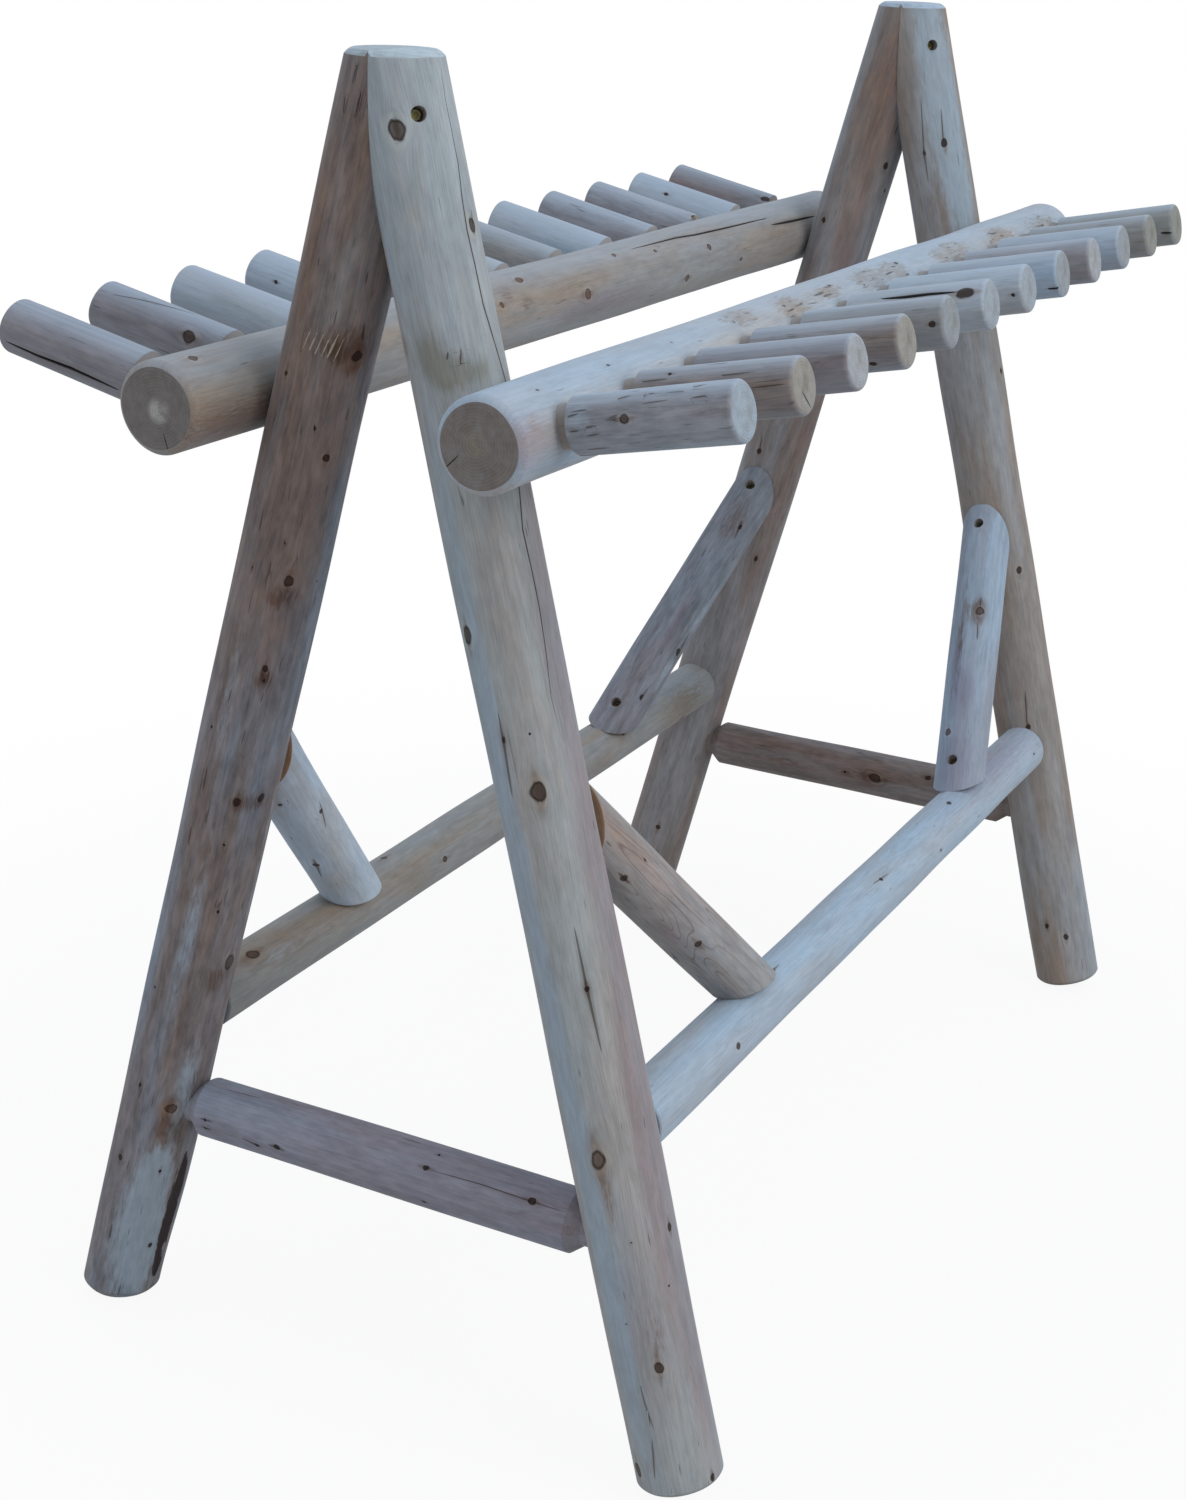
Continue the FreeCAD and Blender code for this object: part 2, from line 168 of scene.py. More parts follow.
class Log:
    """A straight log. A point of its skin is
    start + along * axis + radius * (cos(turn) * zero + sin(turn) * quarter),
    with along in metres from the start and turn in radians from the direction called zero.

    Its ends are cut by planes, and their edges eased by bevels: roundness goes from 0, straight, to 1,
    a quarter circle. A rim says how sawn such an edge looks at its inner and at its outer side, and
    turned how fresh the wood of its tenons is."""

    def __init__(self, name, start, stop, zero, radius):
        self.name = name
        self.kind = next(kind for kind in GRIDS if kind in name)
        self.columns, self.rows = GRIDS[self.kind]
        self.start = np.asarray(start, float)
        run = np.asarray(stop, float) - self.start
        self.length = float(np.linalg.norm(run))
        self.axis = run / self.length
        across = np.asarray(zero, float)
        across = across - self.axis * (across @ self.axis)
        self.zero = across / np.linalg.norm(across)
        self.quarter = np.cross(self.axis, self.zero)
        self.radius = radius
        self.low_cuts = [Cut(self.start, self.axis)]
        self.high_cuts = [Cut(np.asarray(stop, float), self.axis)]
        self.low_bevel = self.high_bevel = PLAIN_BEVEL
        self.roundness = PLAIN_ROUNDNESS
        self.low_rim = self.high_rim = UNSAWN_RIM
        self.turned = 1.0
        self.profile = None
        self.holes = []

    def outward(self, turn):
        """Unit vectors square to the axis: cos(turn) * zero + sin(turn) * quarter."""
        turn = np.asarray(turn, float)
        return np.cos(turn)[..., None] * self.zero + np.sin(turn)[..., None] * self.quarter

    def meets(self, cuts, turn, reach, nearest):
        """Where lines along the log, at a turn and a distance from its axis, meet the first of some cuts."""
        spokes = self.start + np.asarray(reach)[..., None] * self.outward(turn)
        along = [((cut.point - spokes) @ cut.normal) / (self.axis @ cut.normal) for cut in cuts]
        return nearest.reduce(along)

    def radius_at(self, along):
        """The plain radius at a distance along the log, straight between the profile's corners."""
        if self.profile is None:
            return np.full_like(np.asarray(along, float), self.radius)
        corners = np.array(self.profile)
        return np.interp(along, corners[:, 0], corners[:, 1])

    def under_pixel(self, x, y):
        """The (along, turn) where the sight line through a pixel first comes within a radius of the
        axis, a root of a quadratic. A line that just misses the log takes its closest point."""
        ray = sight_line(x, y)
        gap = CAMERA_AT - self.start
        ray_across = ray - self.axis * (ray @ self.axis)
        gap_across = gap - self.axis * (gap @ self.axis)
        square = ray_across @ ray_across
        half = ray_across @ gap_across
        rest = gap_across @ gap_across - self.radius ** 2
        distance = (-half - math.sqrt(max(half * half - square * rest, 0.0))) / square
        hit = CAMERA_AT + distance * ray - self.start
        return float(hit @ self.axis), math.atan2(hit @ self.quarter, hit @ self.zero)


print("kinds of logs:", list(GRIDS))

# %% [markdown]
# ## Legs, rungs, stretchers, braces, rails and pegs
#
# The legs lean together in pairs and are sawn off level at the top; where a pair meets, both are cut on
# the plane between them. The right feet are sawn square to the leg, the left ones level. Rungs and pegs
# are turned down to tenons, so they carry a profile of corner radii. Braces are cut flat against the leg
# and the stretcher. Each line starts from the named sizes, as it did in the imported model.

# %% Legs
TOP_BEVEL = 0.006
FOOT_BEVEL = {"right": 0.006, "left": 0.018}
LEG_ROUNDNESS = 0.3
SAWN_RIM = (1.0, 1.0)
APEX_SCREW_HEIGHT = 1.475
APEX_SCREW_TURN = math.radians(134)
Hole = namedtuple("Hole", "along turn slant")
logs = {}


def leg_axis(side):
    """Unit vector up a leg, leaning inwards by the lean angle."""
    return np.array([0.0, -side * math.sin(LEAN), math.cos(LEAN)])


for end_name, end in ENDS.items():
    for side_name, side in SIDES.items():
        foot = np.array([end * FRAME_HALF, side * FOOT_HALF, 0.0])
        axis = leg_axis(side)
        leg = Log(f"{end_name}_{side_name}_leg", foot, foot + axis * TOP_HEIGHT / math.cos(LEAN),
                  side * ALONG_RACK, LEG_RADIUS)
        edge_rise = (LEG_RADIUS - FOOT_BEVEL[side_name]) * math.tan(LEAN)
        square_foot = Cut(foot + edge_rise * axis, axis)
        leg.low_cuts = [square_foot if side_name == "right" else Cut(foot, UPWARDS)]
        leg.high_cuts = [Cut(np.array([0.0, 0.0, TOP_HEIGHT]), UPWARDS), Cut(np.zeros(3), ACROSS_RACK)]
        leg.low_bevel = FOOT_BEVEL[side_name]
        leg.high_bevel = TOP_BEVEL
        leg.roundness = LEG_ROUNDNESS
        leg.high_rim = SAWN_RIM
        if side_name == "right":
            leg.holes = [Hole(APEX_SCREW_HEIGHT / math.cos(LEAN), math.pi - APEX_SCREW_TURN, 0.0)]
        logs[leg.name] = leg
print("legs:", list(logs))

# %% Rungs
RUNG_NECK = 0.002
RUNG_SHOULDER = 0.016
RUNG_TENON_DEPTH = 0.060
RUNG_FRESHNESS = 0.3
rung_skin = FOOT_HALF * (1 - RUNG_HEIGHT / CROSSING_HEIGHT) - LEG_RADIUS / math.cos(LEAN)
rung_half = rung_skin + RUNG_TENON_DEPTH
neck = RUNG_TENON_DEPTH + RUNG_NECK
for end_name, end in ENDS.items():
    middle = np.array([end * FRAME_HALF, 0.0, RUNG_HEIGHT])
    rung = Log(f"{end_name}_rung", middle - rung_half * ACROSS_RACK, middle + rung_half * ACROSS_RACK,
               UPWARDS, RUNG_RADIUS)
    rung.profile = [(0.0, RUNG_TENON_RADIUS), (neck, RUNG_TENON_RADIUS),
                    (neck + RUNG_SHOULDER, RUNG_RADIUS),
                    (rung.length - neck - RUNG_SHOULDER, RUNG_RADIUS),
                    (rung.length - neck, RUNG_TENON_RADIUS), (rung.length, RUNG_TENON_RADIUS)]
    rung.turned = RUNG_FRESHNESS
    logs[rung.name] = rung
print("rung half length", round(rung_half, 4))

# %% Stretchers
LEG_SEAT = 0.045
TOE_SCREW_INSET = 0.045
TOE_SCREW_SLANT = math.radians(45)
stretcher_reach = FOOT_HALF * (1 - STRETCHER_HEIGHT / CROSSING_HEIGHT)
toe_screw_from_middle = FRAME_HALF - LEG_SEAT - TOE_SCREW_INSET

for side_name, side in SIDES.items():
    middle = np.array([0.0, side * stretcher_reach, STRETCHER_HEIGHT])
    half = STRETCHER_HALF * ALONG_RACK
    stretcher = Log(f"{side_name}_stretcher", middle - half, middle + half, -leg_axis(side), STRETCHER_RADIUS)
    stretcher.holes = [Hole(STRETCHER_HALF + end * toe_screw_from_middle, 0.0, end * TOE_SCREW_SLANT)
                       for end in ENDS.values()]
    logs[stretcher.name] = stretcher
print("stretchers at", round(stretcher_reach, 4))

# %% Braces
BRACE_SEAT = 0.001
SAWN_EDGE = 0.0012
BRACE_RISE = 0.404
BRACE_RUN = {"near_right": 0.395, "near_left": 0.381, "far_right": 0.357, "far_left": 0.403}
BRACE_SCREW_INSET = 0.068

for end_name, end in ENDS.items():
    for side_name, side in SIDES.items():
        corner = np.array([end * FRAME_HALF, side * stretcher_reach, STRETCHER_HEIGHT])
        run = BRACE_RUN[f"{end_name}_{side_name}"]
        slope = end * math.atan2(run, BRACE_RISE)
        upper = -end * (math.cos(slope) * ALONG_RACK - math.sin(slope) * leg_axis(side))
        brace = Log(f"{end_name}_{side_name}_brace", corner - end * run * ALONG_RACK,
                    corner + BRACE_RISE * leg_axis(side), upper, BRACE_RADIUS)
        brace.low_cuts = [Cut(corner + (STRETCHER_RADIUS - BRACE_SEAT) * leg_axis(side), leg_axis(side))]
        brace.high_cuts = [Cut(corner - end * (LEG_RADIUS - BRACE_SEAT) * ALONG_RACK, ALONG_RACK)]
        brace.low_bevel = brace.high_bevel = SAWN_EDGE
        brace.low_rim = brace.high_rim = SAWN_RIM
        brace.holes = [Hole(BRACE_SCREW_INSET, 0.0, 0.0), Hole(brace.length - BRACE_SCREW_INSET, 0.0, 0.0)]
        logs[brace.name] = brace
print("braces:", len(BRACE_RUN))

# %% Rails and pegs
RAIL_BEVEL = 0.007
PEGS_PER_RAIL = 12
PEG_MARGIN = {"right": 0.0894, "left": 0.0638}
PEG_TILT = math.radians(12)
PEG_TENON_DEPTH = 0.060
PEG_NECK = 0.008
PEG_SHOULDER = 0.005
PEG_PROJECTION = 0.190
PEG_BEVEL = 0.005
PEG_ROUNDNESS = 1.0
FADING_RIM = (1.0, 0.0)
neck = PEG_TENON_DEPTH + PEG_NECK

for side_name, side in SIDES.items():
    middle = np.array([0.0, side * RAIL_REACH[side_name], RAIL_HEIGHT[side_name]])
    half = RAIL_HALF * ALONG_RACK
    rail = Log(f"{side_name}_rail", middle - half, middle + half, UPWARDS, RAIL_RADIUS)
    rail.low_bevel = rail.high_bevel = RAIL_BEVEL
    leg_outward = np.cross(leg_axis(side), side * ALONG_RACK)
    screw_turn = math.atan2(leg_outward @ rail.quarter, leg_outward @ rail.zero)
    rail.holes = [Hole(RAIL_HALF + end * FRAME_HALF, screw_turn, 0.0) for end in ENDS.values()]
    logs[rail.name] = rail

    tilted = np.array([0.0, side * math.cos(PEG_TILT), math.sin(PEG_TILT)])
    peg_pitch = 2 * (RAIL_HALF - PEG_MARGIN[side_name]) / (PEGS_PER_RAIL - 1)
    for number in range(PEGS_PER_RAIL):
        at = middle + (number - (PEGS_PER_RAIL - 1) / 2) * peg_pitch * ALONG_RACK
        low = at + (RAIL_RADIUS - PEG_TENON_DEPTH) * tilted
        peg = Log(f"{side_name}_peg_{number + 1:02d}", low, at + (RAIL_RADIUS + PEG_PROJECTION) * tilted,
                  UPWARDS, PEG_RADIUS)
        peg.profile = [(0.0, PEG_TENON_RADIUS), (neck, PEG_TENON_RADIUS),
                       (neck + PEG_SHOULDER, PEG_RADIUS), (peg.length, PEG_RADIUS)]
        peg.high_bevel = PEG_BEVEL
        peg.roundness = PEG_ROUNDNESS
        peg.high_rim = FADING_RIM
        logs[peg.name] = peg

for name, log in logs.items():
    low, high = (np.array(corner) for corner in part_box(name))
    middle = log.start + log.axis * log.length / 2
    assert np.all(middle > low) and np.all(middle < high), name
print("logs, each in its packed piece's box:", len(logs))

# %% [markdown]
# ## Knots, drying checks and stains
#
# Every log shows where its branches grew, where it split while drying and where bark or damp left a
# stain. Each mark below is written as it was read from the photograph: the pixel it sits at,
# and its real size in millimetres. The log under that pixel gives its place along and around the log,
# so a mark stays on its log from every side. The sides that the photograph doesn't show get a few
# knots from a seeded generator.

# %% Kinds of marks
Knot = namedtuple("Knot", "x y size halo light", defaults=[None])
Check = namedtuple("Check", "path wide deep lining", defaults=[0, "dark"])
Stain = namedtuple("Stain", "x y across along kind amount")
Scar = namedtuple("Scar", "x y across along deep")
print("a knot is", Knot._fields, "and a check", Check._fields)

# %% Marks seen on the legs
knots = {
    "near_right_leg": [
        Knot(397, 130, 9.5, 0.1, 0.4), Knot(472, 225, 6.5, 0.5), Knot(468, 635, 9, 0.3, 0.35),
        Knot(504, 740, 4, 0.7), Knot(538, 792, 9, 0.7, 0.4), Knot(587, 989, 3.5, 0.9),
        Knot(598, 1160, 9.5, 1.0, 0.8), Knot(670, 1227, 4.5, 0.3), Knot(631, 1243, 2, 0.3),
        Knot(669, 1286, 2, 0.3), Knot(626, 1324, 2, 0.3), Knot(659, 1368, 6, 0.5), Knot(638, 1470, 7, 0.4),
        Knot(712, 1477, 4, 0.3), Knot(530, 734, 2, 0.2),
    ],
    "near_left_leg": [
        Knot(357, 356, 7, 0.6, 0.3), Knot(286, 373, 4, 0.3), Knot(326, 458, 5, 0.5),
        Knot(315, 428, 2.5, 0.2), Knot(289, 581, 6.5, 0.6, 0.45), Knot(285, 543, 2, 0.2),
        Knot(252, 568, 2, 0.2), Knot(316, 581, 2, 0.2), Knot(265, 669, 4.5, 0.8), Knot(264, 681, 3, 0.8),
        Knot(237, 802, 5, 0.6), Knot(261, 798, 5, 0.8), Knot(224, 845, 2.5, 0.2), Knot(218, 912, 2.5, 0.2),
        Knot(230, 962, 8.5, 0.5, 1.0), Knot(155, 987, 2.5, 0.2), Knot(140, 1085, 3, 0.3),
        Knot(171, 1108, 7.5, 0.9, 0.9), Knot(120, 1157, 4.5, 0.5), Knot(160, 1171, 3, 0.5),
        Knot(150, 1245, 3.5, 0.3), Knot(212, 727, 2.5, 0.3),
    ],
    "far_right_leg": [
        Knot(944, 143, 6.5, 0.4, 0.1), Knot(924, 153, 4, 0.4), Knot(1001, 371, 5, 0.4),
        Knot(1019, 570, 5.5, 0.3), Knot(1028, 727, 5, 0.3), Knot(1066, 937, 5, 0.3),
        Knot(1047, 926, 4, 0.6),
    ],
    "far_left_leg": [
        Knot(886, 166, 5, 0.4), Knot(885, 191, 3.5, 0.2), Knot(824, 220, 4.5, 0.3), Knot(759, 451, 5, 0.3),
        Knot(756, 559, 4.5, 0.4), Knot(658, 827, 5, 0.4), Knot(716, 741, 7, 0.5),
    ],
}
checks = {
    "near_right_leg": [
        Check([(440, 59), (445, 98), (458, 163), (462, 197), (467, 230), (475, 265), (483, 304), (493, 338),
               (505, 380), (513, 440), (520, 494), (523, 530), (532, 570), (539, 605), (545, 645),
               (551, 697), (558, 726)], 1.3, 3), Check([(498, 711), (505, 750), (513, 800)], 2.6),
        Check([(574, 926), (586, 985), (602, 1054)], 3.0), Check([(652, 1438), (655, 1480)], 1.6),
        Check([(640, 1384), (645, 1404), (654, 1430)], 1.5), Check([(471, 210), (473, 226)], 1.4),
        Check([(448, 351), (447, 362)], 1.6), Check([(461, 349), (460, 366)], 1.8),
    ],
    "near_left_leg": [
        Check([(187, 1150), (177, 1190), (166, 1228), (153, 1278)], 19.0, 4, "bark"),
        Check([(301, 353), (311, 328)], 1.4, 0, "pale"), Check([(308, 354), (317, 332)], 1.4, 0, "pale"),
        Check([(314, 357), (325, 330)], 1.6, 0, "pale"), Check([(321, 358), (330, 336)], 1.4, 0, "pale"),
        Check([(326, 361), (339, 332)], 1.8, 0, "pale"), Check([(333, 363), (344, 338)], 1.4, 0, "pale"),
        Check([(364, 322), (362, 342)], 2.2), Check([(346, 92), (343, 116)], 1.8),
        Check([(358, 62), (352, 84)], 1.6), Check([(361, 90), (355, 120)], 1.4),
        Check([(208, 766), (203, 792)], 2.4), Check([(192, 826), (188, 846)], 2.2),
    ],
    "far_right_leg": [
        Check([(941, 108), (943, 140)], 2.0), Check([(921, 98), (924, 150), (929, 188)], 1.8),
        Check([(1025, 690), (1027, 726)], 2.2),
    ],
    "far_left_leg": [
        Check([(716, 741), (700, 790)], 2.4), Check([(759, 451), (762, 436)], 2.0),
    ],
}
stains = {
    "near_right_leg": [
        Stain(404, 347, 12, 14, "damp", 1.0), Stain(428, 356, 20, 26, "damp", 1.0),
        Stain(445, 376, 16, 18, "damp", 0.8), Stain(472, 372, 24, 18, "damp", 0.8),
        Stain(606, 1195, 10, 45, "brown", 0.5), Stain(588, 865, 14, 70, "mauve", 0.5),
        Stain(545, 640, 14, 130, "mauve", 0.7), Stain(690, 1300, 18, 160, "mauve", 0.7),
        Stain(640, 1110, 16, 120, "mauve", 0.7), Stain(415, 220, 22, 90, "tan", 0.35),
        Stain(640, 1330, 34, 150, "mauve", 0.6), Stain(504, 790, 17, 430, "pale", 0.9),
        Stain(606, 1270, 16, 260, "pale", 0.9), Stain(590, 800, 20, 420, "mauve", 1.2),
        Stain(668, 1230, 20, 260, "mauve", 1.1), Stain(387, 250, 10, 80, "pale", 0.6),
        Stain(657, 1340, 10, 40, "brown", 0.45),
    ],
    "near_left_leg": [
        Stain(345, 350, 40, 24, "brown", 1.0), Stain(284, 599, 18, 14, "brown", 0.9),
        Stain(264, 682, 12, 14, "brown", 0.9), Stain(215, 981, 14, 22, "brown", 0.8),
        Stain(167, 1128, 14, 16, "brown", 1.2), Stain(172, 1109, 17, 15, "tan", 1.2),
        Stain(250, 803, 24, 12, "brown", 0.9), Stain(330, 250, 70, 330, "tan", 0.9),
        Stain(290, 520, 50, 200, "tan", 0.6), Stain(138, 1238, 32, 98, "pale", 1.3),
        Stain(156, 1170, 14, 28, "pale", 1.0), Stain(185, 1090, 16, 90, "pale", 0.6),
        Stain(338, 352, 16, 12, "damp", 1.0), Stain(338, 560, 7, 180, "pale", 0.5),
        Stain(262, 850, 7, 160, "pale", 0.45), Stain(190, 930, 14, 130, "pale", 0.45),
        Stain(230, 690, 12, 120, "pale", 0.4),
    ],
    "far_right_leg": [
        Stain(934, 95, 22, 30, "brown", 0.3), Stain(930, 205, 20, 30, "brown", 0.4),
        Stain(938, 70, 36, 200, "pale", 0.8), Stain(958, 180, 26, 200, "pale", 0.6),
        Stain(915, 60, 12, 50, "tan", 0.6), Stain(1000, 560, 30, 240, "tan", 0.35),
    ],
    "far_left_leg": [
        Stain(836, 300, 25, 160, "mauve", 0.7), Stain(880, 90, 40, 220, "tan", 0.6),
        Stain(712, 740, 16, 18, "brown", 0.9),
    ],
}
print("leg knots:", {name: len(marks) for name, marks in knots.items()})

# %% Marks seen on the rungs, stretchers and braces
knots.update({
    "near_rung": [
        Knot(205, 1120, 2.5, 0.2), Knot(206, 1128, 2, 0.2), Knot(257, 1145, 3, 0.4),
        Knot(277, 1147, 4, 0.5), Knot(426, 1168, 4, 0.5), Knot(532, 1201, 5, 0.5),
        Knot(439, 1155, 2.5, 0.2), Knot(424, 1202, 2.5, 0.3),
    ],
    "far_rung": [Knot(875, 778, 8, 0.9), Knot(928, 778, 5, 0.8), Knot(845, 772, 3, 0.4)],
    "left_stretcher": [
        Knot(253, 954, 8, 0.8, 0.7), Knot(445, 859, 5, 0.4, 0.6), Knot(384, 858, 5, 0.4, 0.8),
        Knot(623, 733, 5, 0.6), Knot(682, 718, 5, 0.6),
    ],
    "right_stretcher": [
        Knot(773, 970, 4, 0.1), Knot(738, 1046, 5, 0.1), Knot(881, 879, 4, 0.1), Knot(941, 850, 3, 0.1),
        Knot(949, 803, 4.5, 0.1), Knot(1034, 754, 3, 0.3),
    ],
    "near_right_brace": [
        Knot(624, 878, 5, 0.3), Knot(698, 944, 5.5, 0.5, 0.2), Knot(645, 860, 2.5, 0.4),
        Knot(675, 957, 2.5, 0.2),
    ],
    "near_left_brace": [Knot(280, 805, 4, 0.4), Knot(321, 811, 4, 0.4), Knot(316, 865, 5.5, 0.4)],
    "far_left_brace": [Knot(740, 527, 4, 0.3), Knot(678, 652, 6, 0.3), Knot(641, 697, 4, 0.3)],
    "far_right_brace": [Knot(980, 611, 7, 1.6, 0.9), Knot(948, 732, 6, 0.4, 0.8)],
})
checks.update({
    "near_rung": [
        Check([(430, 1170), (480, 1184), (530, 1201), (568, 1213)], 1.3),
        Check([(199, 1118), (213, 1122)], 1.8), Check([(201, 1126), (212, 1130)], 1.6),
        Check([(242, 1138), (262, 1147)], 1.8), Check([(268, 1144), (286, 1151)], 2.0),
        Check([(223, 1089), (262, 1099)], 0.9), Check([(402, 1138), (422, 1144)], 1.4),
    ],
    "near_left_brace": [Check([(313, 858), (322, 878)], 2.0), Check([(319, 800), (326, 828)], 2.0)],
    "left_stretcher": [Check([(680, 730), (686, 712)], 2.2)],
    "far_left_brace": [
        Check([(675, 660), (690, 632)], 2.4), Check([(639, 702), (648, 688)], 2.2),
        Check([(734, 540), (742, 520)], 1.8),
    ],
    "near_right_brace": [Check([(618, 872), (630, 884)], 2.0), Check([(671, 952), (680, 962)], 1.8)],
    "right_stretcher": [Check([(766, 976), (780, 964)], 1.6), Check([(873, 884), (889, 873)], 1.6)],
    "far_right_brace": [Check([(978, 624), (977, 640)], 2.0), Check([(981, 598), (980, 606)], 2.0)],
})
stains.update({
    "left_stretcher": [
        Stain(420, 880, 22, 60, "tan", 0.6), Stain(330, 915, 16, 90, "tan", 0.5),
        Stain(280, 935, 20, 30, "tan", 0.5), Stain(600, 770, 18, 60, "tan", 0.6),
        Stain(290, 945, 26, 160, "pale", 0.35), Stain(690, 700, 40, 90, "damp", 0.7),
        Stain(680, 705, 40, 90, "tan", 0.8),
    ],
    "near_right_brace": [
        Stain(640, 850, 16, 40, "tan", 0.3), Stain(668, 935, 12, 40, "mauve", 0.6),
        Stain(612, 825, 34, 60, "tan", 0.4),
    ],
    "near_left_brace": [Stain(335, 885, 34, 45, "tan", 0.7)],
    "far_right_brace": [
        Stain(962, 690, 20, 40, "mauve", 0.9), Stain(958, 650, 10, 60, "mauve", 0.9),
        Stain(960, 640, 8, 120, "brown", 0.7), Stain(990, 600, 12, 130, "pale", 0.55),
        Stain(976, 612, 12, 24, "brown", 0.8), Stain(952, 765, 34, 80, "mauve", 0.9),
    ],
    "far_rung": [Stain(870, 778, 18, 70, "brown", 0.6), Stain(780, 760, 20, 60, "brown", 0.5)],
    "right_stretcher": [Stain(985, 768, 36, 240, "mauve", 0.8)],
    "far_left_brace": [
        Stain(680, 620, 12, 70, "mauve", 0.9), Stain(735, 520, 18, 50, "brown", 0.6),
        Stain(668, 668, 10, 60, "pale", 0.6), Stain(705, 610, 9, 70, "pale", 0.55),
    ],
})
print("marks on", len(knots), "logs so far")

# %% Marks seen on the rails and pegs
knots.update({
    "left_rail": [
        Knot(519, 280, 6, 0.5, 0.9), Knot(614, 255, 4, 0.4, 0.9), Knot(655, 251, 3.5, 0.4, 0.7),
        Knot(709, 247, 6, 0.4, 0.9), Knot(687, 278, 6, 0.3, 0.9), Knot(741, 259, 4, 0.3, 0.9),
        Knot(588, 294, 8, 0.5, 1.0), Knot(502, 305, 5, 0.6, 0.8), Knot(193, 358, 6, 0.3, 0.8),
    ],
    "right_rail": [
        Knot(537, 390, 2.5, 0.1), Knot(608, 365, 2.5, 0.1), Knot(672, 342, 2.5, 0.1),
        Knot(784, 306, 3, 0.1), Knot(829, 286, 3, 0.2), Knot(864, 285, 2.5, 0.2), Knot(896, 263, 4, 0.3),
        Knot(734, 322, 2.5, 0.1),
    ],
    "right_peg_01": [Knot(624, 419, 5, 0.3, 0.8)],
    "right_peg_02": [Knot(670, 374, 3, 0.2)],
    "right_peg_04": [Knot(873, 364, 4, 0.2)],
    "right_peg_05": [Knot(932, 324, 4.5, 0.3)],
    "right_peg_06": [Knot(965, 293, 9, 0.5, 0.15)],
    "right_peg_07": [Knot(1013, 295, 3, 0.2)],
    "left_peg_01": [Knot(66, 314, 5, 0.2)],
    "left_peg_02": [Knot(189, 337, 9, 0.2, 0.5)],
    "left_peg_04": [Knot(276, 282, 3.5, 0.2)],
    "left_peg_10": [Knot(695, 217, 6, 0.4)],
    "left_peg_11": [Knot(666, 194, 4, 0.2)],
    "left_peg_12": [Knot(765, 199, 6, 0.4)],
})
checks.update({
    "left_rail": [
        Check([(631, 249), (676, 238), (695, 235), (734, 226), (767, 218)], 3.0, 6),
        Check([(771, 225), (792, 221), (815, 216)], 4.0, 7),
    ],
    "right_peg_01": [
        Check([(575, 456), (592, 456), (612, 455)], 5.0, 4), Check([(585, 450), (610, 448)], 1.6),
        Check([(568, 432), (580, 431)], 1.6), Check([(586, 436), (600, 434)], 1.2),
        Check([(583, 428), (596, 426)], 1.6), Check([(566, 417), (579, 414)], 1.6),
        Check([(640, 404), (668, 400)], 1.0), Check([(690, 398), (710, 395)], 1.8),
        Check([(615, 400), (632, 396)], 1.8), Check([(642, 397), (656, 393)], 1.6),
        Check([(690, 388), (706, 385)], 1.8),
    ],
    "right_peg_02": [
        Check([(640, 382), (668, 379)], 1.8), Check([(690, 388), (740, 383)], 1.4),
        Check([(720, 376), (760, 371)], 1.6), Check([(750, 388), (786, 384)], 1.6),
    ],
    "right_peg_06": [Check([(880, 299), (905, 297), (930, 294), (957, 292)], 4.5, 4)],
    "right_peg_08": [Check([(1046, 289), (1070, 288)], 3.5, 4)],
    "right_peg_12": [Check([(1160, 233), (1172, 233)], 3.5, 3)],
    "left_peg_01": [Check([(5, 341), (37, 356), (71, 369), (120, 391)], 4.5, 6)],
    "left_peg_02": [Check([(111, 294), (155, 303), (200, 316)], 1.6)],
})
stains.update({
    "left_rail": [
        Stain(528, 303, 14, 16, "brown", 0.6), Stain(505, 292, 16, 20, "brown", 0.6),
        Stain(600, 305, 24, 160, "mauve", 0.9), Stain(250, 418, 26, 130, "brown", 0.9),
        Stain(205, 440, 30, 80, "tan", 1.2), Stain(225, 420, 34, 120, "tan", 0.9),
    ],
    "right_rail": [
        Stain(868, 279, 20, 50, "torn", 1.0), Stain(897, 271, 20, 40, "torn", 1.0),
        Stain(953, 253, 22, 75, "torn", 1.0), Stain(1000, 236, 20, 60, "torn", 0.9),
        Stain(1042, 226, 24, 70, "torn", 0.9), Stain(793, 306, 22, 40, "torn", 1.0),
        Stain(825, 293, 14, 50, "torn", 0.8), Stain(738, 316, 18, 40, "torn", 0.9),
        # Tan and mauve patches beside peg 1's neck: partly the rail's own colour, partly painted shade of the
        # peg.
        Stain(535, 425, 16, 16, "tan", 0.5), Stain(522, 445, 34, 70, "mauve", 0.9),
    ],
    "left_peg_02": [Stain(228, 338, 10, 10, "brown", 0.8)],
    "right_peg_01": [Stain(578, 415, 18, 22, "pale", 0.6)],
    "right_peg_06": [Stain(930, 302, 10, 40, "tan", 0.8)],
})
end_checks = {
    "right_rail": [Check([(444, 469), (459, 455)], 1.6, 1)],
    "left_rail": [Check([(163, 432), (169, 454)], 1.4, 1)],
    "right_peg_02": [Check([(802, 391), (811, 408)], 2.4, 1)],
}
scars = {"near_left_leg": [Scar(168, 1275, 26, 105, 7)]}
print("seen knots:", sum(map(len, knots.values())), "checks:", sum(map(len, checks.values())))

# %% [markdown]
# ## Rows and columns of a log's skin
#
# A log is sawn at both ends, its edges are eased, and its side is round. As a surface that is one
# grid: columns go around the log, and rows run from the middle of one end face out to its edge, over
# the eased edge, along the side and in again. Lofting curves would give the same shape, but a grid
# with known rows lets the cuts, the checks and the screw holes move its points exactly.

# %% Rows along the side
EDGE_ROW = 0.0008


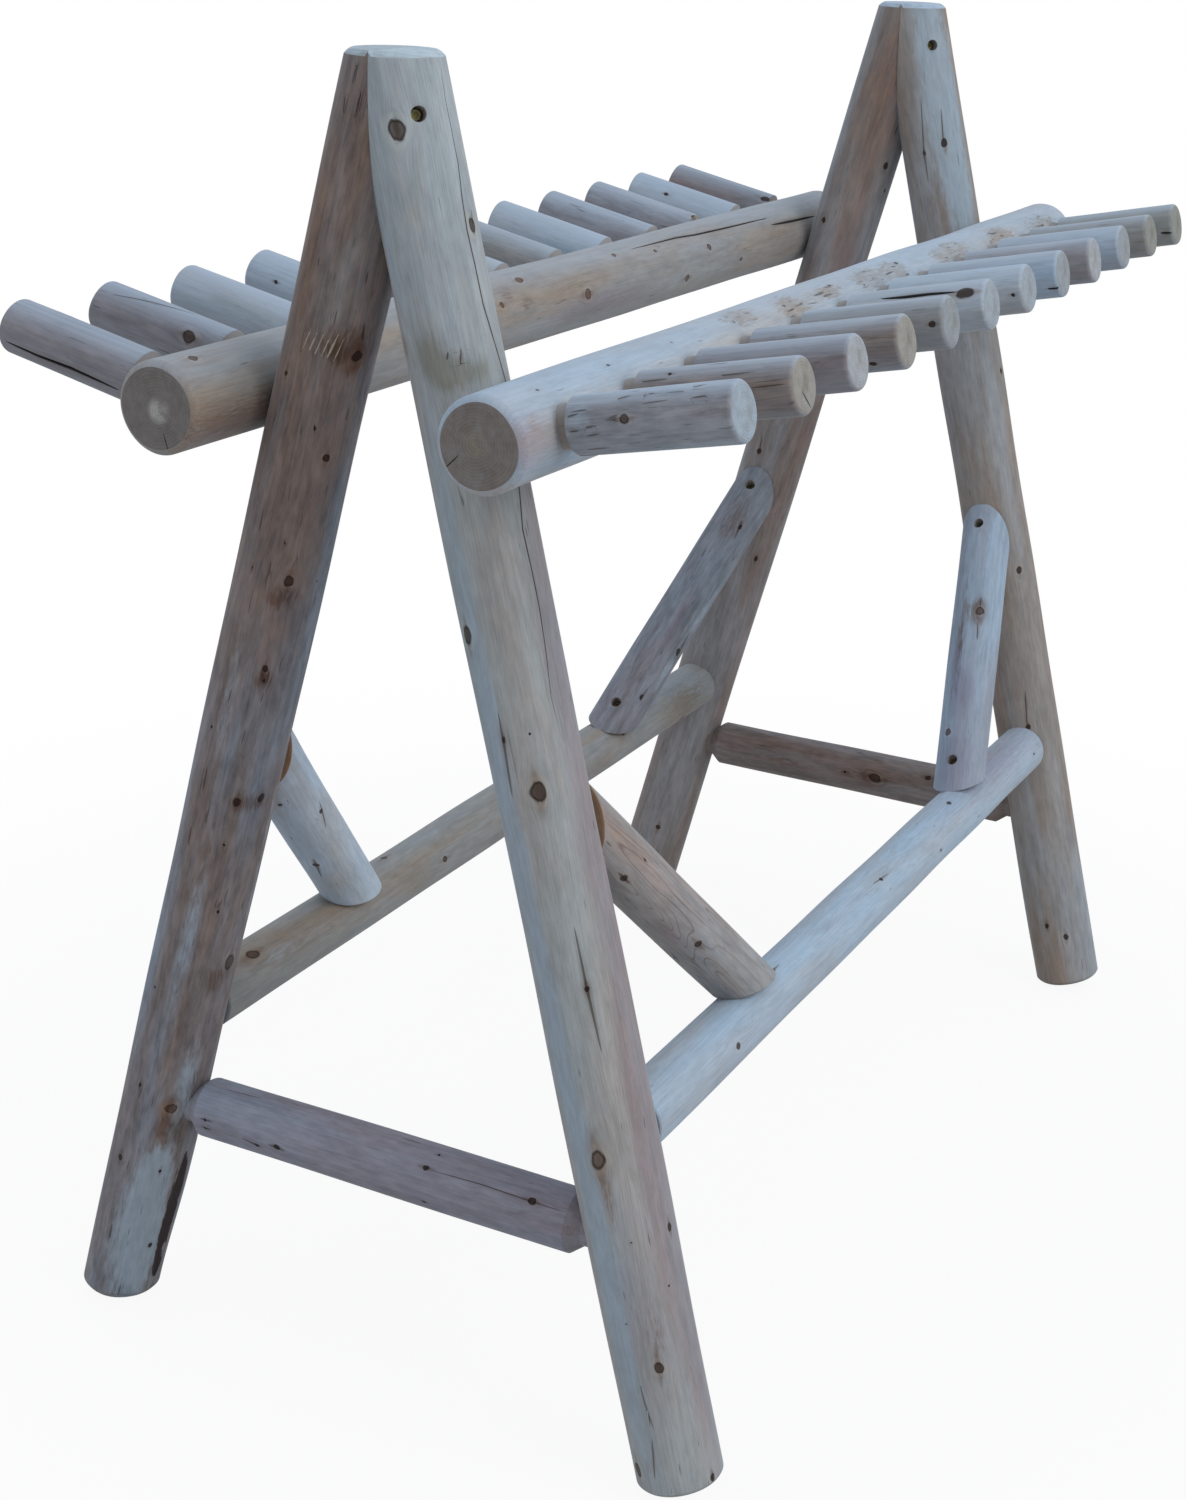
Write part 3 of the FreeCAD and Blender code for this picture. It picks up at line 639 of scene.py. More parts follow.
def side_rows(log):
    """Fractions of the side for its rows: even steps, with close pairs at the ends and profile corners."""
    span = log.length - log.low_bevel - log.high_bevel
    corners = [0.0, span]
    if log.profile is not None:
        corners += [along - log.low_bevel for along, _ in log.profile]
    corners = np.array(corners)[:, None] + np.array([-EDGE_ROW, 0.0, EDGE_ROW])
    rows = np.concatenate([np.linspace(0.0, span, log.rows), np.clip(corners.ravel(), 0.0, span)])
    rows = np.unique(np.round(rows, 6))
    return rows / rows[-1]


print("rows along a rung:", len(side_rows(logs["near_rung"])))

# %% The grid of a skin
CAP_RINGS = np.linspace(0.05, 1.0, 16)
EASED_STEPS = np.array([0.06, 0.22, 0.40, 0.58, 0.76, 0.94])
MITRE_BEVEL = 0.0008


def skin_grid(log):
    """Turn, along and reach of every grid point, with each row's ring size and whether it is sawn.

    Cap rows lie in the end cuts at a share of the edge's radius. An eased edge goes from a straight
    bevel, step by step, towards a quarter circle: sin and 1 - cos of a quarter turn. Side rows divide
    the way between the two cuts evenly, so they lean gradually from one cut to the other."""
    turn = 2 * np.pi * np.arange(log.columns) / log.columns
    low_reach = log.radius_at(0.0)
    high_reach = log.radius_at(log.length)
    low_edge = log.meets(log.low_cuts, turn, np.full_like(turn, low_reach), np.maximum)
    high_edge = log.meets(log.high_cuts, turn, np.full_like(turn, high_reach), np.minimum)
    sawn_top = log.meets(log.high_cuts[:1], turn, np.full_like(turn, high_reach), np.minimum)
    high_bevel = np.where(high_edge < sawn_top, MITRE_BEVEL, log.high_bevel)
    low_bevel = np.full_like(turn, log.low_bevel)

    steps = EASED_STEPS[:, None]
    outwards = steps + log.roundness * (np.sin(np.pi / 2 * steps) - steps)
    down = steps + log.roundness * (1 - np.cos(np.pi / 2 * steps) - steps)

    def end_rows(cuts, reach, edge, bevel, inwards, nearest):
        cap_reach = CAP_RINGS[:, None] * (reach - bevel)
        around = np.broadcast_to(turn, cap_reach.shape)
        cap_along = log.meets(cuts, around, cap_reach, nearest)
        eased_reach = reach - bevel * (1 - outwards)
        eased_along = cap_along[-1] + down * (edge + inwards * bevel - cap_along[-1])
        return np.vstack([cap_along, eased_along]), np.vstack([cap_reach, eased_reach])

    low_along, low_rows = end_rows(log.low_cuts, low_reach, low_edge, low_bevel, 1, np.maximum)
    high_along, high_rows = end_rows(log.high_cuts, high_reach, high_edge, high_bevel, -1, np.minimum)
    begin = low_edge + low_bevel
    side_along = begin + side_rows(log)[:, None] * (high_edge - high_bevel - begin)
    along = np.vstack([low_along, side_along, high_along[::-1]])
    reach = np.vstack([low_rows, log.radius_at(side_along), high_rows[::-1]])
    ends = np.concatenate([CAP_RINGS, np.ones(len(EASED_STEPS))])
    ring = np.concatenate([ends, np.ones(len(side_along)), ends[::-1]])[:, None]
    low_sawn, high_sawn = (np.concatenate([np.ones(len(CAP_RINGS)), np.interp(EASED_STEPS, [0, 1], rim)])
                           for rim in (log.low_rim, log.high_rim))
    sawn = np.concatenate([low_sawn, np.zeros(len(side_along)), high_sawn[::-1]])[:, None]
    return np.broadcast_to(turn, along.shape).copy(), along, reach, ring, sawn


sample_log = logs["near_right_leg"]
sample_turn, sample_along = skin_grid(sample_log)[:2]
print("near right leg grid:", sample_turn.shape)

# %% [markdown]
# ## Knots that the grain flows around
#
# A knot is the root of a branch. The trunk's fibres part in front of it and close behind it, as water
# does around a stone, so the grain's coordinates follow the textbook flow around a cylinder. The knot
# itself is a low swelling with a dished heart. A texture could paint it, but then its rim would not
# catch the light. For the shader, the distance to the nearest knot is kept at every point.

# %% Places of the knots
MILLIMETRE = 0.001
KNOT_SPACING = 0.17
RIM_SHARE = 0.82
BLACK_KNOT = 2.8
BROWN_KNOT = 8.3
MOST_LIGHT = 0.6
LOW_MARGIN = 0.06
HIGH_MARGIN = 0.03
HIDDEN_TURN = 1.2
SEEDED_SIZE = (2.5, 8.0)
SEEDED_HALO = (0.2, 0.9)
PlacedKnot = namedtuple("PlacedKnot", "along turn size halo light")


def wrap(angle):
    """An angle brought to between minus half a turn and half a turn."""
    return (angle + np.pi) % (2 * np.pi) - np.pi


def log_seed(log):
    """A number of its own for each log, from its place in the list."""
    return 1000 + list(logs).index(log.name)


def heart_light(size):
    """How light a knot's heart is, from 0 to 1: small knots are nearly black, large ones brown."""
    share = (size / MILLIMETRE - BLACK_KNOT) / (BROWN_KNOT - BLACK_KNOT)
    return min(max(share, 0.0), MOST_LIGHT)


def placed_knots(log):
    """The knots read from the photograph, then seeded ones on the half that faces away from it.

    A knot was read out to its dark rim, so its own size is a share of that."""
    placed = []
    for knot in knots.get(log.name, []):
        along, turn = log.under_pixel(knot.x, knot.y)
        size = RIM_SHARE * knot.size * MILLIMETRE
        light = heart_light(size) if knot.light is None else knot.light
        placed.append(PlacedKnot(along, turn, size, knot.halo, light))
    chance = np.random.default_rng(log_seed(log))
    to_camera = CAMERA_AT - log.start - log.axis * log.length / 2
    away = math.atan2(to_camera @ log.quarter, to_camera @ log.zero) + math.pi
    for _ in range(max(1, round(log.length / KNOT_SPACING))):
        along = chance.uniform(LOW_MARGIN, log.length - HIGH_MARGIN)
        turn = away + chance.uniform(-HIDDEN_TURN, HIDDEN_TURN)
        size = chance.uniform(*SEEDED_SIZE) * MILLIMETRE * min(1.0, log.radius / LEG_RADIUS + 0.1)
        placed.append(PlacedKnot(along, turn, size, chance.uniform(*SEEDED_HALO), heart_light(size)))
    return placed


print("knots of the near right leg:", len(placed_knots(sample_log)))

# %% Relief, grain flow and knot distance
FAR_FROM_KNOTS = 9.0
SWELL_HEIGHT = 0.10
SWELL_SPREAD = 1.7
DISH_DEPTH = 0.12
DISH_SPREAD = 0.75
FLOW_STRENGTH = 1.3
FLOW_LENGTH = 2.2
FLOW_CORE = 0.8
HALO_WIDE = 1.9
HALO_LONG = 3.6
MOST_HALO = 1.5
FLAME_AMOUNT = 1.2
FLAME_WIDE = 0.45
FLAME_LONG = (1.5, 4.0)
KNOT_TALL = (1.0, 1.5)


def knot_fields(log, turn, along):
    """Relief in metres, turn of the flowing grain, and for the nearest knot its distance in knot radii,
    how light its heart is and the halo.

    Across is turn * radius and down is the way along, both from the knot's middle. Flow around a
    cylinder: a fibre at across keeps across * (1 - size^2 / (across^2 + down^2)). A knot is an ellipse
    with seeded lobes, and a flame of stain, exp(-(across^2 + down^2)) in its own width and length, runs
    out from it along the grain."""
    chance = np.random.default_rng(log_seed(log) + 300)
    relief = np.zeros_like(along)
    flow = turn.copy()
    nearest = np.full_like(along, FAR_FROM_KNOTS)
    light = np.zeros_like(along)
    halo = np.zeros_like(along)
    for knot in placed_knots(log):
        across = wrap(turn - knot.turn) * log.radius
        down = along - knot.along
        tall = chance.uniform(*KNOT_TALL)
        around = np.arctan2(down, across)
        lobes = 1 + 0.07 * np.cos(2 * around + chance.uniform(0, 6))
        lobes += 0.05 * np.cos(3 * around + chance.uniform(0, 6))
        distance = np.hypot(across, down / tall) / knot.size / lobes
        swelling = SWELL_HEIGHT * np.exp(-(distance / SWELL_SPREAD) ** 2)
        relief += knot.size * (swelling - DISH_DEPTH * np.exp(-(distance / DISH_SPREAD) ** 2))
        spread = np.maximum(across ** 2 + (down / FLOW_LENGTH) ** 2, (FLOW_CORE * knot.size) ** 2)
        flow -= FLOW_STRENGTH * across * knot.size ** 2 / spread / log.radius
        glow = (across / (HALO_WIDE * knot.size)) ** 2 + (down / (HALO_LONG * knot.size)) ** 2
        halo += knot.halo * np.exp(-glow)
        flame_long = chance.uniform(*FLAME_LONG)
        flame = (across / (FLAME_WIDE * knot.size)) ** 2 + (down / (flame_long * knot.size)) ** 2
        halo += FLAME_AMOUNT * np.exp(-flame)
        light = np.where(distance < nearest, knot.light, light)
        nearest = np.minimum(nearest, distance)
    return relief, flow, nearest, light, np.clip(halo, 0.0, MOST_HALO)


sample_relief = knot_fields(sample_log, sample_turn, sample_along)[0]
print("highest knot of the near right leg, mm:", round(float(sample_relief.max()) / MILLIMETRE, 2))

# %% Waves of a log
WAVE_LOBES = (1, 2, 2, 3, 4)
WAVE_LENGTH = (0.25, 0.9)
WAVE_HEIGHT = (0.15, 0.4)


def waviness(log, turn, along):
    """A log is never quite round or straight: five seeded long waves that also wind around it."""
    chance = np.random.default_rng(log_seed(log) + 500)
    wave = np.zeros_like(along)
    for lobes in WAVE_LOBES:
        length = chance.uniform(*WAVE_LENGTH)
        height = chance.uniform(*WAVE_HEIGHT) * MILLIMETRE
        wave += height * np.cos(lobes * turn + 2 * np.pi * (along / length + chance.uniform()))
    return wave * log.radius / LEG_RADIUS


sample_wave = waviness(sample_log, sample_turn, sample_along)
print("highest wave of the near right leg, mm:", round(float(sample_wave.max()) / MILLIMETRE, 2))

# %% [markdown]
# ## Drying checks
#
# Logs split along the grain as they dry. The wide splits are real grooves: the columns near one are
# drawn together so that three of them follow its two lips and its bottom. A Boolean would cut the
# same groove but leave long thin triangles. Hairline checks are too fine for the mesh, so for these
# the grid only carries the signed distance to the line, and the material draws it. On both, the
# material paints the shade inside the check as a nearly black line.

# %% Checks as grooves
CHECK_COLUMNS = 9
CHECK_FADE = 0.030
LEAST_LIP = 0.15


def smooth(share):
    """A soft step from 0 to 1: 3 s^2 - 2 s^3."""
    share = np.clip(share, 0.0, 1.0)
    return share * share * (3 - 2 * share)


def steps_from(middle, count):
    """Column steps from a middle column, the short way around."""
    return (np.arange(count) - middle + count // 2) % count - count // 2


def opening_at(share):
    """How open a check is at a share of its length, from 0 to 1: the square root of a half sine."""
    return np.sqrt(np.sin(np.pi * np.clip(share, 0.0, 1.0)))


def check_line(log, check, along):
    """Turn of a check, its opening and how near it is, at each distance along the log."""
    points = np.array(sorted(log.under_pixel(x, y) for x, y in check.path))
    bends = np.unwrap(points[:, 1])
    opening = opening_at((along - points[0, 0]) / (points[-1, 0] - points[0, 0]))
    outside = np.maximum(points[0, 0] - along, along - points[-1, 0])
    return np.interp(along, points[:, 0], bends), opening, 1 - smooth(outside / CHECK_FADE)


def open_check(log, check, turn, along):
    """Draw columns to a check's lips and bottom; give the moved turns and the groove's depth.

    The middle column takes the check's line and its neighbours take the lips; from there to the ninth
    column on either side, the turns go back to the grid in even steps."""
    line, opening, near = check_line(log, check, along)
    columns = turn.shape[1]
    middle = int(round(float(np.mean(line[near > 0.9])) / (2 * np.pi) * columns)) % columns
    steps = steps_from(middle, columns)
    size = np.abs(steps)
    apart = wrap(turn - line)
    rim_left = np.abs(apart[:, (middle - CHECK_COLUMNS) % columns])[:, None]
    rim_right = np.abs(apart[:, (middle + CHECK_COLUMNS) % columns])[:, None]
    rim = np.where(steps < 0, rim_left, rim_right)
    lip = check.wide / 2 * MILLIMETRE / log.radius * np.maximum(opening, LEAST_LIP)
    goal = np.sign(steps) * np.where(size == 0, 0.0, lip + (size - 1) / (CHECK_COLUMNS - 1) * (rim - lip))
    inside = size < CHECK_COLUMNS
    moved = np.where(inside, turn + near * (goal - apart), turn)
    depth = np.where(size == 0, check.deep * MILLIMETRE * opening, 0.0)
    return moved, depth


print("grooves:", sum(check.deep > 0 for rows in checks.values() for check in rows))

# %% Checks as a field for the material
CHECK_REACH = 0.012
LEAST_OPENING = 0.2
FAR_FROM_CHECKS = 200.0
LININGS = {"dark": 0, "bark": 1, "pale": 3}


def half_width(check, opening):
    """Half a check's width in metres, shrinking with its opening, so that it runs out to a point."""
    return check.wide / 2 * MILLIMETRE * np.maximum(opening, LEAST_OPENING)


def check_field(log, turn, along):
    """Signed distance to the nearest check in half widths, how open it is there, and its kind: 0 for a
    hairline, 1 for a groove, 2 for a groove lined with bark, 3 for a pale scratch.

    The sign changes from one check to the next, so that between two neighbours the distance doesn't
    pass through zero."""
    signed = np.full_like(along, FAR_FROM_CHECKS)
    open_here = np.zeros_like(along)
    kind = np.zeros_like(along)
    for order, check in enumerate(checks.get(log.name, [])):
        line, opening, _ = check_line(log, check, along)
        across = wrap(turn - line) * log.radius
        distance = across / half_width(check, opening) * (-1) ** order
        closer = (opening > 0) & (np.abs(across) < CHECK_REACH) & (np.abs(distance) < np.abs(signed))
        signed = np.where(closer, distance, signed)
        open_here = np.where(closer, opening, open_here)
        kind = np.where(closer, (check.deep > 0) + LININGS[check.lining], kind)
    return np.stack([signed, open_here, kind], axis=-1)


def end_check_field(log, points):
    """The same three values on the end faces, for straight checks between two pixels of the photograph.

    Along a check its opening follows its share; across it the distance is signed."""
    fields = np.zeros(points.shape)
    fields[..., 0] = FAR_FROM_CHECKS
    for check in end_checks.get(log.name, []):
        face = log.start if log.kind == "rail" else log.start + log.length * log.axis
        rays = np.array([sight_line(x, y) for x, y in check.path])
        first, last = CAMERA_AT + rays * (((face - CAMERA_AT) @ log.axis) / (rays @ log.axis))[:, None]
        run = last - first
        opening = opening_at((points - first) @ run / (run @ run))
        across = (points - first) @ np.cross(log.axis, run) / np.linalg.norm(run)
        near = opening * (np.abs((points - face) @ log.axis) < CHECK_REACH) * (np.abs(across) < CHECK_REACH)
        mark = np.stack([across / half_width(check, opening), near, np.ones_like(near)], axis=-1)
        fields = np.where((near > fields[..., 1])[..., None], mark, fields)
    return fields


print("logs with checks on an end:", list(end_checks))

# %% [markdown]
# ## Screw holes
#
# The screws sit at the bottom of counterbored holes. The square rings of grid points around a hole
# are drawn onto circles: the inner rings make its floor, one its foot and one its lip, and the outer
# ones lead back to the grid. A hole that leans, as under the stretchers, is an ellipse on the skin.

# %% Holes on the grid
HOLE_RADIUS = 0.008
COUNTERBORE_DEPTH = 0.020
LIP_EASE = 0.0006
LIP_DROP = 0.0004
HOLE_MARGIN = 0.012
HOLE_FLOOR_RING = 4
HOLE_LIP_RING = 5
HOLE_EASE_RING = 6
HOLE_LAST_RING = 10


def drill(log, hole, turn, along):
    """Draw the grid to circles around a hole; give turns, alongs and each point's ring and offsets."""
    columns = turn.shape[1]
    middle = int(round(hole.turn / (2 * np.pi) * columns)) % columns
    cap = len(CAP_RINGS) + len(EASED_STEPS)
    side_row = int(np.argmin(np.abs(along[cap:-cap, middle] - hole.along))) + cap
    row_steps = (np.arange(turn.shape[0]) - side_row)[:, None]
    column_steps = steps_from(middle, columns)[None, :]
    ring = np.maximum(np.abs(row_steps), np.abs(column_steps))
    way = np.arctan2(row_steps, column_steps)
    rings = [0, HOLE_FLOOR_RING, HOLE_LIP_RING, HOLE_EASE_RING, HOLE_LAST_RING]
    sizes = [0.0, HOLE_RADIUS, HOLE_RADIUS, HOLE_RADIUS + LIP_EASE, HOLE_RADIUS + HOLE_MARGIN]
    circle = np.interp(ring, rings, sizes)
    side_step = circle * np.cos(way)
    down_step = circle * np.sin(way) / math.cos(hole.slant)
    back = smooth((ring - HOLE_EASE_RING) / (HOLE_LAST_RING - HOLE_EASE_RING))
    side_step += back * (wrap(turn - hole.turn) * log.radius - side_step)
    down_step += back * (along - hole.along - down_step)
    inside = ring < HOLE_LAST_RING
    turn = np.where(inside, hole.turn + side_step / log.radius, turn)
    along = np.where(inside, hole.along + down_step, along)
    return turn, along, ring, side_step, down_step


def sink_hole(log, hole, points, ring, side_step, down_step):
    """Move a hole's floor, foot and lip: in by the depth against the log's radius, on by the slant."""
    inward = -log.outward(hole.turn)
    tangent = log.outward(hole.turn + np.pi / 2)
    skin_drop = log.radius - np.sqrt(np.maximum(log.radius ** 2 - side_step ** 2, 0.0))
    floor = ring <= HOLE_FLOOR_RING
    depth = np.where(floor, COUNTERBORE_DEPTH * math.cos(hole.slant), skin_drop + LIP_DROP)
    shift = np.where(floor, COUNTERBORE_DEPTH * math.sin(hole.slant), 0.0)
    middle = log.start + hole.along * log.axis - log.radius * inward
    sunk = (middle + side_step[..., None] * tangent + (down_step + shift)[..., None] * log.axis
            + depth[..., None] * inward)
    return np.where((ring <= HOLE_LIP_RING)[..., None], sunk, points)


print("screw holes:", sum(len(log.holes) for log in logs.values()))

# %% [markdown]
# ## From grid to mesh
#
# The grid closes around the log, and one point closes the middle of each end face. The arrays go to
# the mesh in one call each. Besides the points, the mesh carries the fields that its wood needs: the
# flowing grain, knots, halos, checks, stains, where the wood is sawn or freshly turned, and how much
# weathered silver and painted light the lying logs get.

# %% Stains, scars, and silver with painted light
STAIN_KINDS = ("tan", "brown", "mauve", "damp", "pale", "torn")
EXPOSURE = {"peg": 1.0, "rail": 0.5}
FACING_UP = [-1.0, -0.3, 0.3, 0.65, 0.95]
# Share of silver and painted light by facing: painted floor-bounce light below, sky light on top.
SILVER_AND_LIGHT_BY_FACING = [0.45, 0.25, 0.0, 0.35, 1.0]


def patch(log, mark, turn, along):
    """A soft patch around a mark: exp(-(across^2 + down^2)), both in sizes of the mark."""
    place, around = log.under_pixel(mark.x, mark.y)
    across = wrap(turn - around) * log.radius / (mark.across * MILLIMETRE)
    down = (along - place) / (mark.along * MILLIMETRE)
    return np.exp(-(across ** 2 + down ** 2))


def stain_field(log, kind, turn, along):
    """The patches of one kind of stain, each by its amount, added up."""
    total = np.zeros_like(along)
    for stain in stains.get(log.name, []):
        if stain.kind == kind:
            total += stain.amount * patch(log, stain, turn, along)
    return np.clip(total, 0.0, 1.0)


def scar_field(log, turn, along):
    """Wood that broke away, in metres: patches by their depth."""
    lost = np.zeros_like(along)
    for scar in scars.get(log.name, []):
        lost += scar.deep * MILLIMETRE * patch(log, scar, turn, along)
    return lost


def silvering_and_painted_light(log, turn):
    """How much weathered silver and painted light a lying log gets, by how far up its skin faces.

    Upper sides get the most: real weathering and painted sky light. Flanks get none; undersides get
    some, as painted light bounced up from the floor. The rails get half, partly as painted shade of
    their pegs."""
    facing_up = log.outward(turn) @ UPWARDS
    return EXPOSURE.get(log.kind, 0.0) * np.interp(facing_up, FACING_UP, SILVER_AND_LIGHT_BY_FACING)


print("stains:", {kind: sum(stain.kind == kind for rows in stains.values() for stain in rows)
                  for kind in STAIN_KINDS})

# %% Mesh of a grid
SHARP_EDGE = math.radians(52)


def closed_faces(rows, columns):
    """Corner lists of a grid that closes around: four-cornered cells, then two fans to the end points."""
    cells = np.arange(rows * columns).reshape(rows, columns)
    here, there = cells, np.roll(cells, -1, axis=1)
    quads = np.stack([here[:-1], there[:-1], there[1:], here[1:]], axis=-1).reshape(-1, 4)
    first = np.full(columns, rows * columns)
    low_fan = np.stack([first, there[0], here[0]], axis=-1)
    high_fan = np.stack([first + 1, here[-1], there[-1]], axis=-1)
    return quads, np.vstack([low_fan, high_fan])


def build_mesh(name, points, fields):
    """A mesh from the grid's points and fields; each end point is the mean of its ring."""
    rows, columns = points.shape[:2]
    quads, fans = closed_faces(rows, columns)

    def with_ends(grid):
        flat = grid.reshape(rows * columns, -1)
        return np.vstack([flat, flat[:columns].mean(axis=0), flat[-columns:].mean(axis=0)])

    mesh = bpy.data.meshes.new(name)
    corners = np.concatenate([quads.ravel(), fans.ravel()]).astype(np.int32)
    starts = np.concatenate([np.arange(len(quads)) * 4, len(quads) * 4 + np.arange(len(fans)) * 3])
    mesh.vertices.add(rows * columns + 2)
    mesh.vertices.foreach_set("co", with_ends(points).ravel())
    mesh.loops.add(len(corners))
    mesh.loops.foreach_set("vertex_index", corners)
    mesh.polygons.add(len(starts))
    mesh.polygons.foreach_set("loop_start", starts.astype(np.int32))
    mesh.update(calc_edges=True)
    for field, grid in fields.items():
        kind, key = ("FLOAT_VECTOR", "vector") if grid.ndim == 3 else ("FLOAT", "value")
        layer = mesh.attributes.new(field, kind, "POINT")
        layer.data.foreach_set(key, with_ends(grid).astype(np.float32).ravel())
    mesh.shade_smooth()
    mesh.set_sharp_from_angle(angle=SHARP_EDGE)
    return mesh


print("faces of the near right leg:", [len(faces) for faces in closed_faces(*sample_turn.shape)])

# %% The whole skin
BODY_SHARE = 0.98
PITH_OFFSET = 0.16
GRAIN_SHIFT = 40


def skin_of(log):
    """The whole skin: grid, checks, holes, relief and fields, as a mesh."""
    turn, along, reach, ring, sawn = skin_grid(log)
    groove = np.zeros_like(along)
    for check in checks.get(log.name, []):
        if check.deep > 0:
            turn, depth = open_check(log, check, turn, along)
            groove += depth
    drilled = []
    for hole in log.holes:
        turn, along, hole_ring, side_step, down_step = drill(log, hole, turn, along)
        drilled.append((hole, hole_ring, side_step, down_step))
    relief, flow, nearest, light, halo = knot_fields(log, turn, along)
    relief = relief - scar_field(log, turn, along)
    body = log.radius_at(along) > BODY_SHARE * log.radius
    shaped = reach + ring * body * (waviness(log, turn, along) + relief) - ring ** 3 * groove
    points = log.start + along[..., None] * log.axis + shaped[..., None] * log.outward(turn)
    fresh = np.broadcast_to(log.turned * ~body, along.shape).copy()
    for hole, hole_ring, side_step, down_step in drilled:
        points = sink_hole(log, hole, points, hole_ring, side_step, down_step)
        fresh = np.where(hole_ring <= HOLE_LIP_RING, 1.0, fresh)
    chance = np.random.default_rng(log_seed(log) + 900)
    pith = chance.uniform(-PITH_OFFSET, PITH_OFFSET, 2) * log.radius
    bent = turn + ring ** 2 * (flow - turn)
    unsawn = sawn < 0.5
    fields = {
        "grain": np.stack([reach * np.cos(bent) - pith[0], reach * np.sin(bent) - pith[1],
                           along + chance.uniform(0, GRAIN_SHIFT)], axis=-1),
        "knot": np.stack([np.where(unsawn, nearest, FAR_FROM_KNOTS), light, halo * unsawn], axis=-1),
        "check": np.where(unsawn[..., None], check_field(log, turn, along), end_check_field(log, points)),
        "sawn": np.broadcast_to(sawn, along.shape),
        "fresh": fresh,
        "silver_and_painted_light": silvering_and_painted_light(log, turn),
    }
    for kind in STAIN_KINDS:
        fields[kind] = stain_field(log, kind, turn, along) * unsawn
    return build_mesh(f"{log.name}_log", points, fields)


print("pith within", PITH_OFFSET, "of a radius from the middle")

# %% All the logs
pieces = {}
for name, log in logs.items():
    piece = add_object(f"{name}_log", skin_of(log))
    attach(piece, "root")
    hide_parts(name)
    log.kind + "_wood"
    pieces[name] = piece
triangles = sum(len(piece.data.loops) - 2 * len(piece.data.polygons) for piece in pieces.values())
print("pieces:", len(pieces), "triangles:", triangles)

# %% [markdown]
# ## Writing node trees as sums
#
# Blender's materials are trees of nodes. Wired one call at a time, a wood shader is hard to read, so
# one small class stands for a node's output: plain arithmetic on it adds Math nodes, and its node
# method adds any other node by type, settings and sockets. Colours go through Mix nodes.

# %% Wires between nodes
class Wire:
    """One output of a node tree. Sums with it add Math nodes to the same tree."""

    def __init__(self, tree, socket=None):
        self.tree = tree
        self.socket = socket

    def fill(self, node, inputs):
        """Give a node's sockets their values or links."""
        for key, value in inputs.items():
            if isinstance(value, Wire):
                self.tree.links.new(value.socket, node.inputs[key])
            else:
                node.inputs[key].default_value = value

    def node(self, kind, settings, inputs, output=0):
        """Add a node: its type, its settings first, then values or links for its sockets."""
        made = self.tree.nodes.new(kind)
        for key, value in settings.items():
            setattr(made, key, value)
        self.fill(made, inputs)
        return Wire(self.tree, made.outputs[output])

    def math(self, operation, first, second=0.0):
        return self.node("ShaderNodeMath", {"operation": operation}, {0: first, 1: second})

    def __add__(self, other):
        return self.math("ADD", self, other)

    def __sub__(self, other):
        return self.math("SUBTRACT", self, other)

    def __rsub__(self, other):
        return self.math("SUBTRACT", other, self)

    def __mul__(self, other):
        return self.math("MULTIPLY", self, other)

    def __abs__(self):
        return self.math("ABSOLUTE", self)

    __radd__ = __add__
    __rmul__ = __mul__

    def vector(self, operation, inputs, output="Vector"):
        return self.node("ShaderNodeVectorMath", {"operation": operation}, inputs, output)

    def step(self, low, high):
        """A soft step: 0 below low, 1 above high. With low above high it falls instead."""
        return self.node("ShaderNodeMapRange", {"interpolation_type": "SMOOTHSTEP"},
                         {"Value": self, "From Min": low, "From Max": high})

    def even(self):
        """A noise spread out to between -0.5 and 0.5."""
        return self.step(0.32, 0.68) - 0.5

    def mix(self, first, second, how="MIX"):
        """Colour between two colours, with this wire as the factor."""
        return self.node("ShaderNodeMix", {"data_type": "RGBA", "blend_type": how},
                         {0: self, 6: first, 7: second}, output=2)

    def glaze(self, colour, glass):
        """A colour seen through coloured glass, with this wire as how thick the glass is."""
        return self.mix(colour, glass, "MULTIPLY")


def tint(red, green, blue):
    """A colour written as on screen, 0 to 255, as the linear colour that nodes use."""
    screen = np.array([red, green, blue]) / 255
    light = np.where(screen <= 0.04045, screen / 12.92, ((screen + 0.055) / 1.055) ** 2.4)
    return (*light.tolist(), 1.0)


def new_finish(name):
    """A material with an empty tree: its Principled shader, and a wire to start from."""
    material = bpy.data.materials.new(name)
    material.use_nodes = True
    tree = material.node_tree
    return material, Wire(tree), tree.nodes["Principled BSDF"]


print("middle grey on screen is", round(tint(128, 128, 128)[0], 3), "in a node")

# %% [markdown]
# ## Weathered wood
#
# The rack has stood outdoors. Peeled logs turn grey, here bluish, there cream or mauve, and brown where
# bark clung longest; sawn ends show growth rings. The wood is drawn from the grain coordinates with
# noise stretched along the log: broad drifts of hue, soft clouds, streaks and fine fibres, and the
# contour lines that a peeling knife leaves where it cuts through growth rings. Stains lie over that
# like coloured glass, so they multiply the wood's colour and its figure shows through. Image textures
# would show seams at the knots; this pattern runs around them because its coordinates do.

# %% Fields and noises of the wood
Noise = namedtuple("Noise", "across along detail shift", defaults=[0.0])
NOISES = {
    "drift": Noise(17, 2.4, 3.0), "chill": Noise(15, 2.0, 3.0, 31.7), "clouds": Noise(54, 13, 4.0),
    "mottle": Noise(130, 38, 5.0, 7.9), "strands": Noise(210, 4.5, 3.0), "fibres": Noise(700, 14, 2.0),
    "figure": Noise(26, 1.9, 1.0, 11.3), "specks": Noise(230, 28, 1.0), "frays": Noise(420, 60, 2.0, 3.3),
    "flakes": Noise(90, 40, 4.0, 5.1), "swirl": Noise(40, 0.0, 3.0),
}
NOISE_ROUGHNESS = 0.58
Patterns = namedtuple("Patterns", list(NOISES))


def attribute(wire, key, output="Fac"):
    """A field that the mesh carries, as a number or as a Vector."""
    return wire.node("ShaderNodeAttribute", {"attribute_name": key}, {}, output)


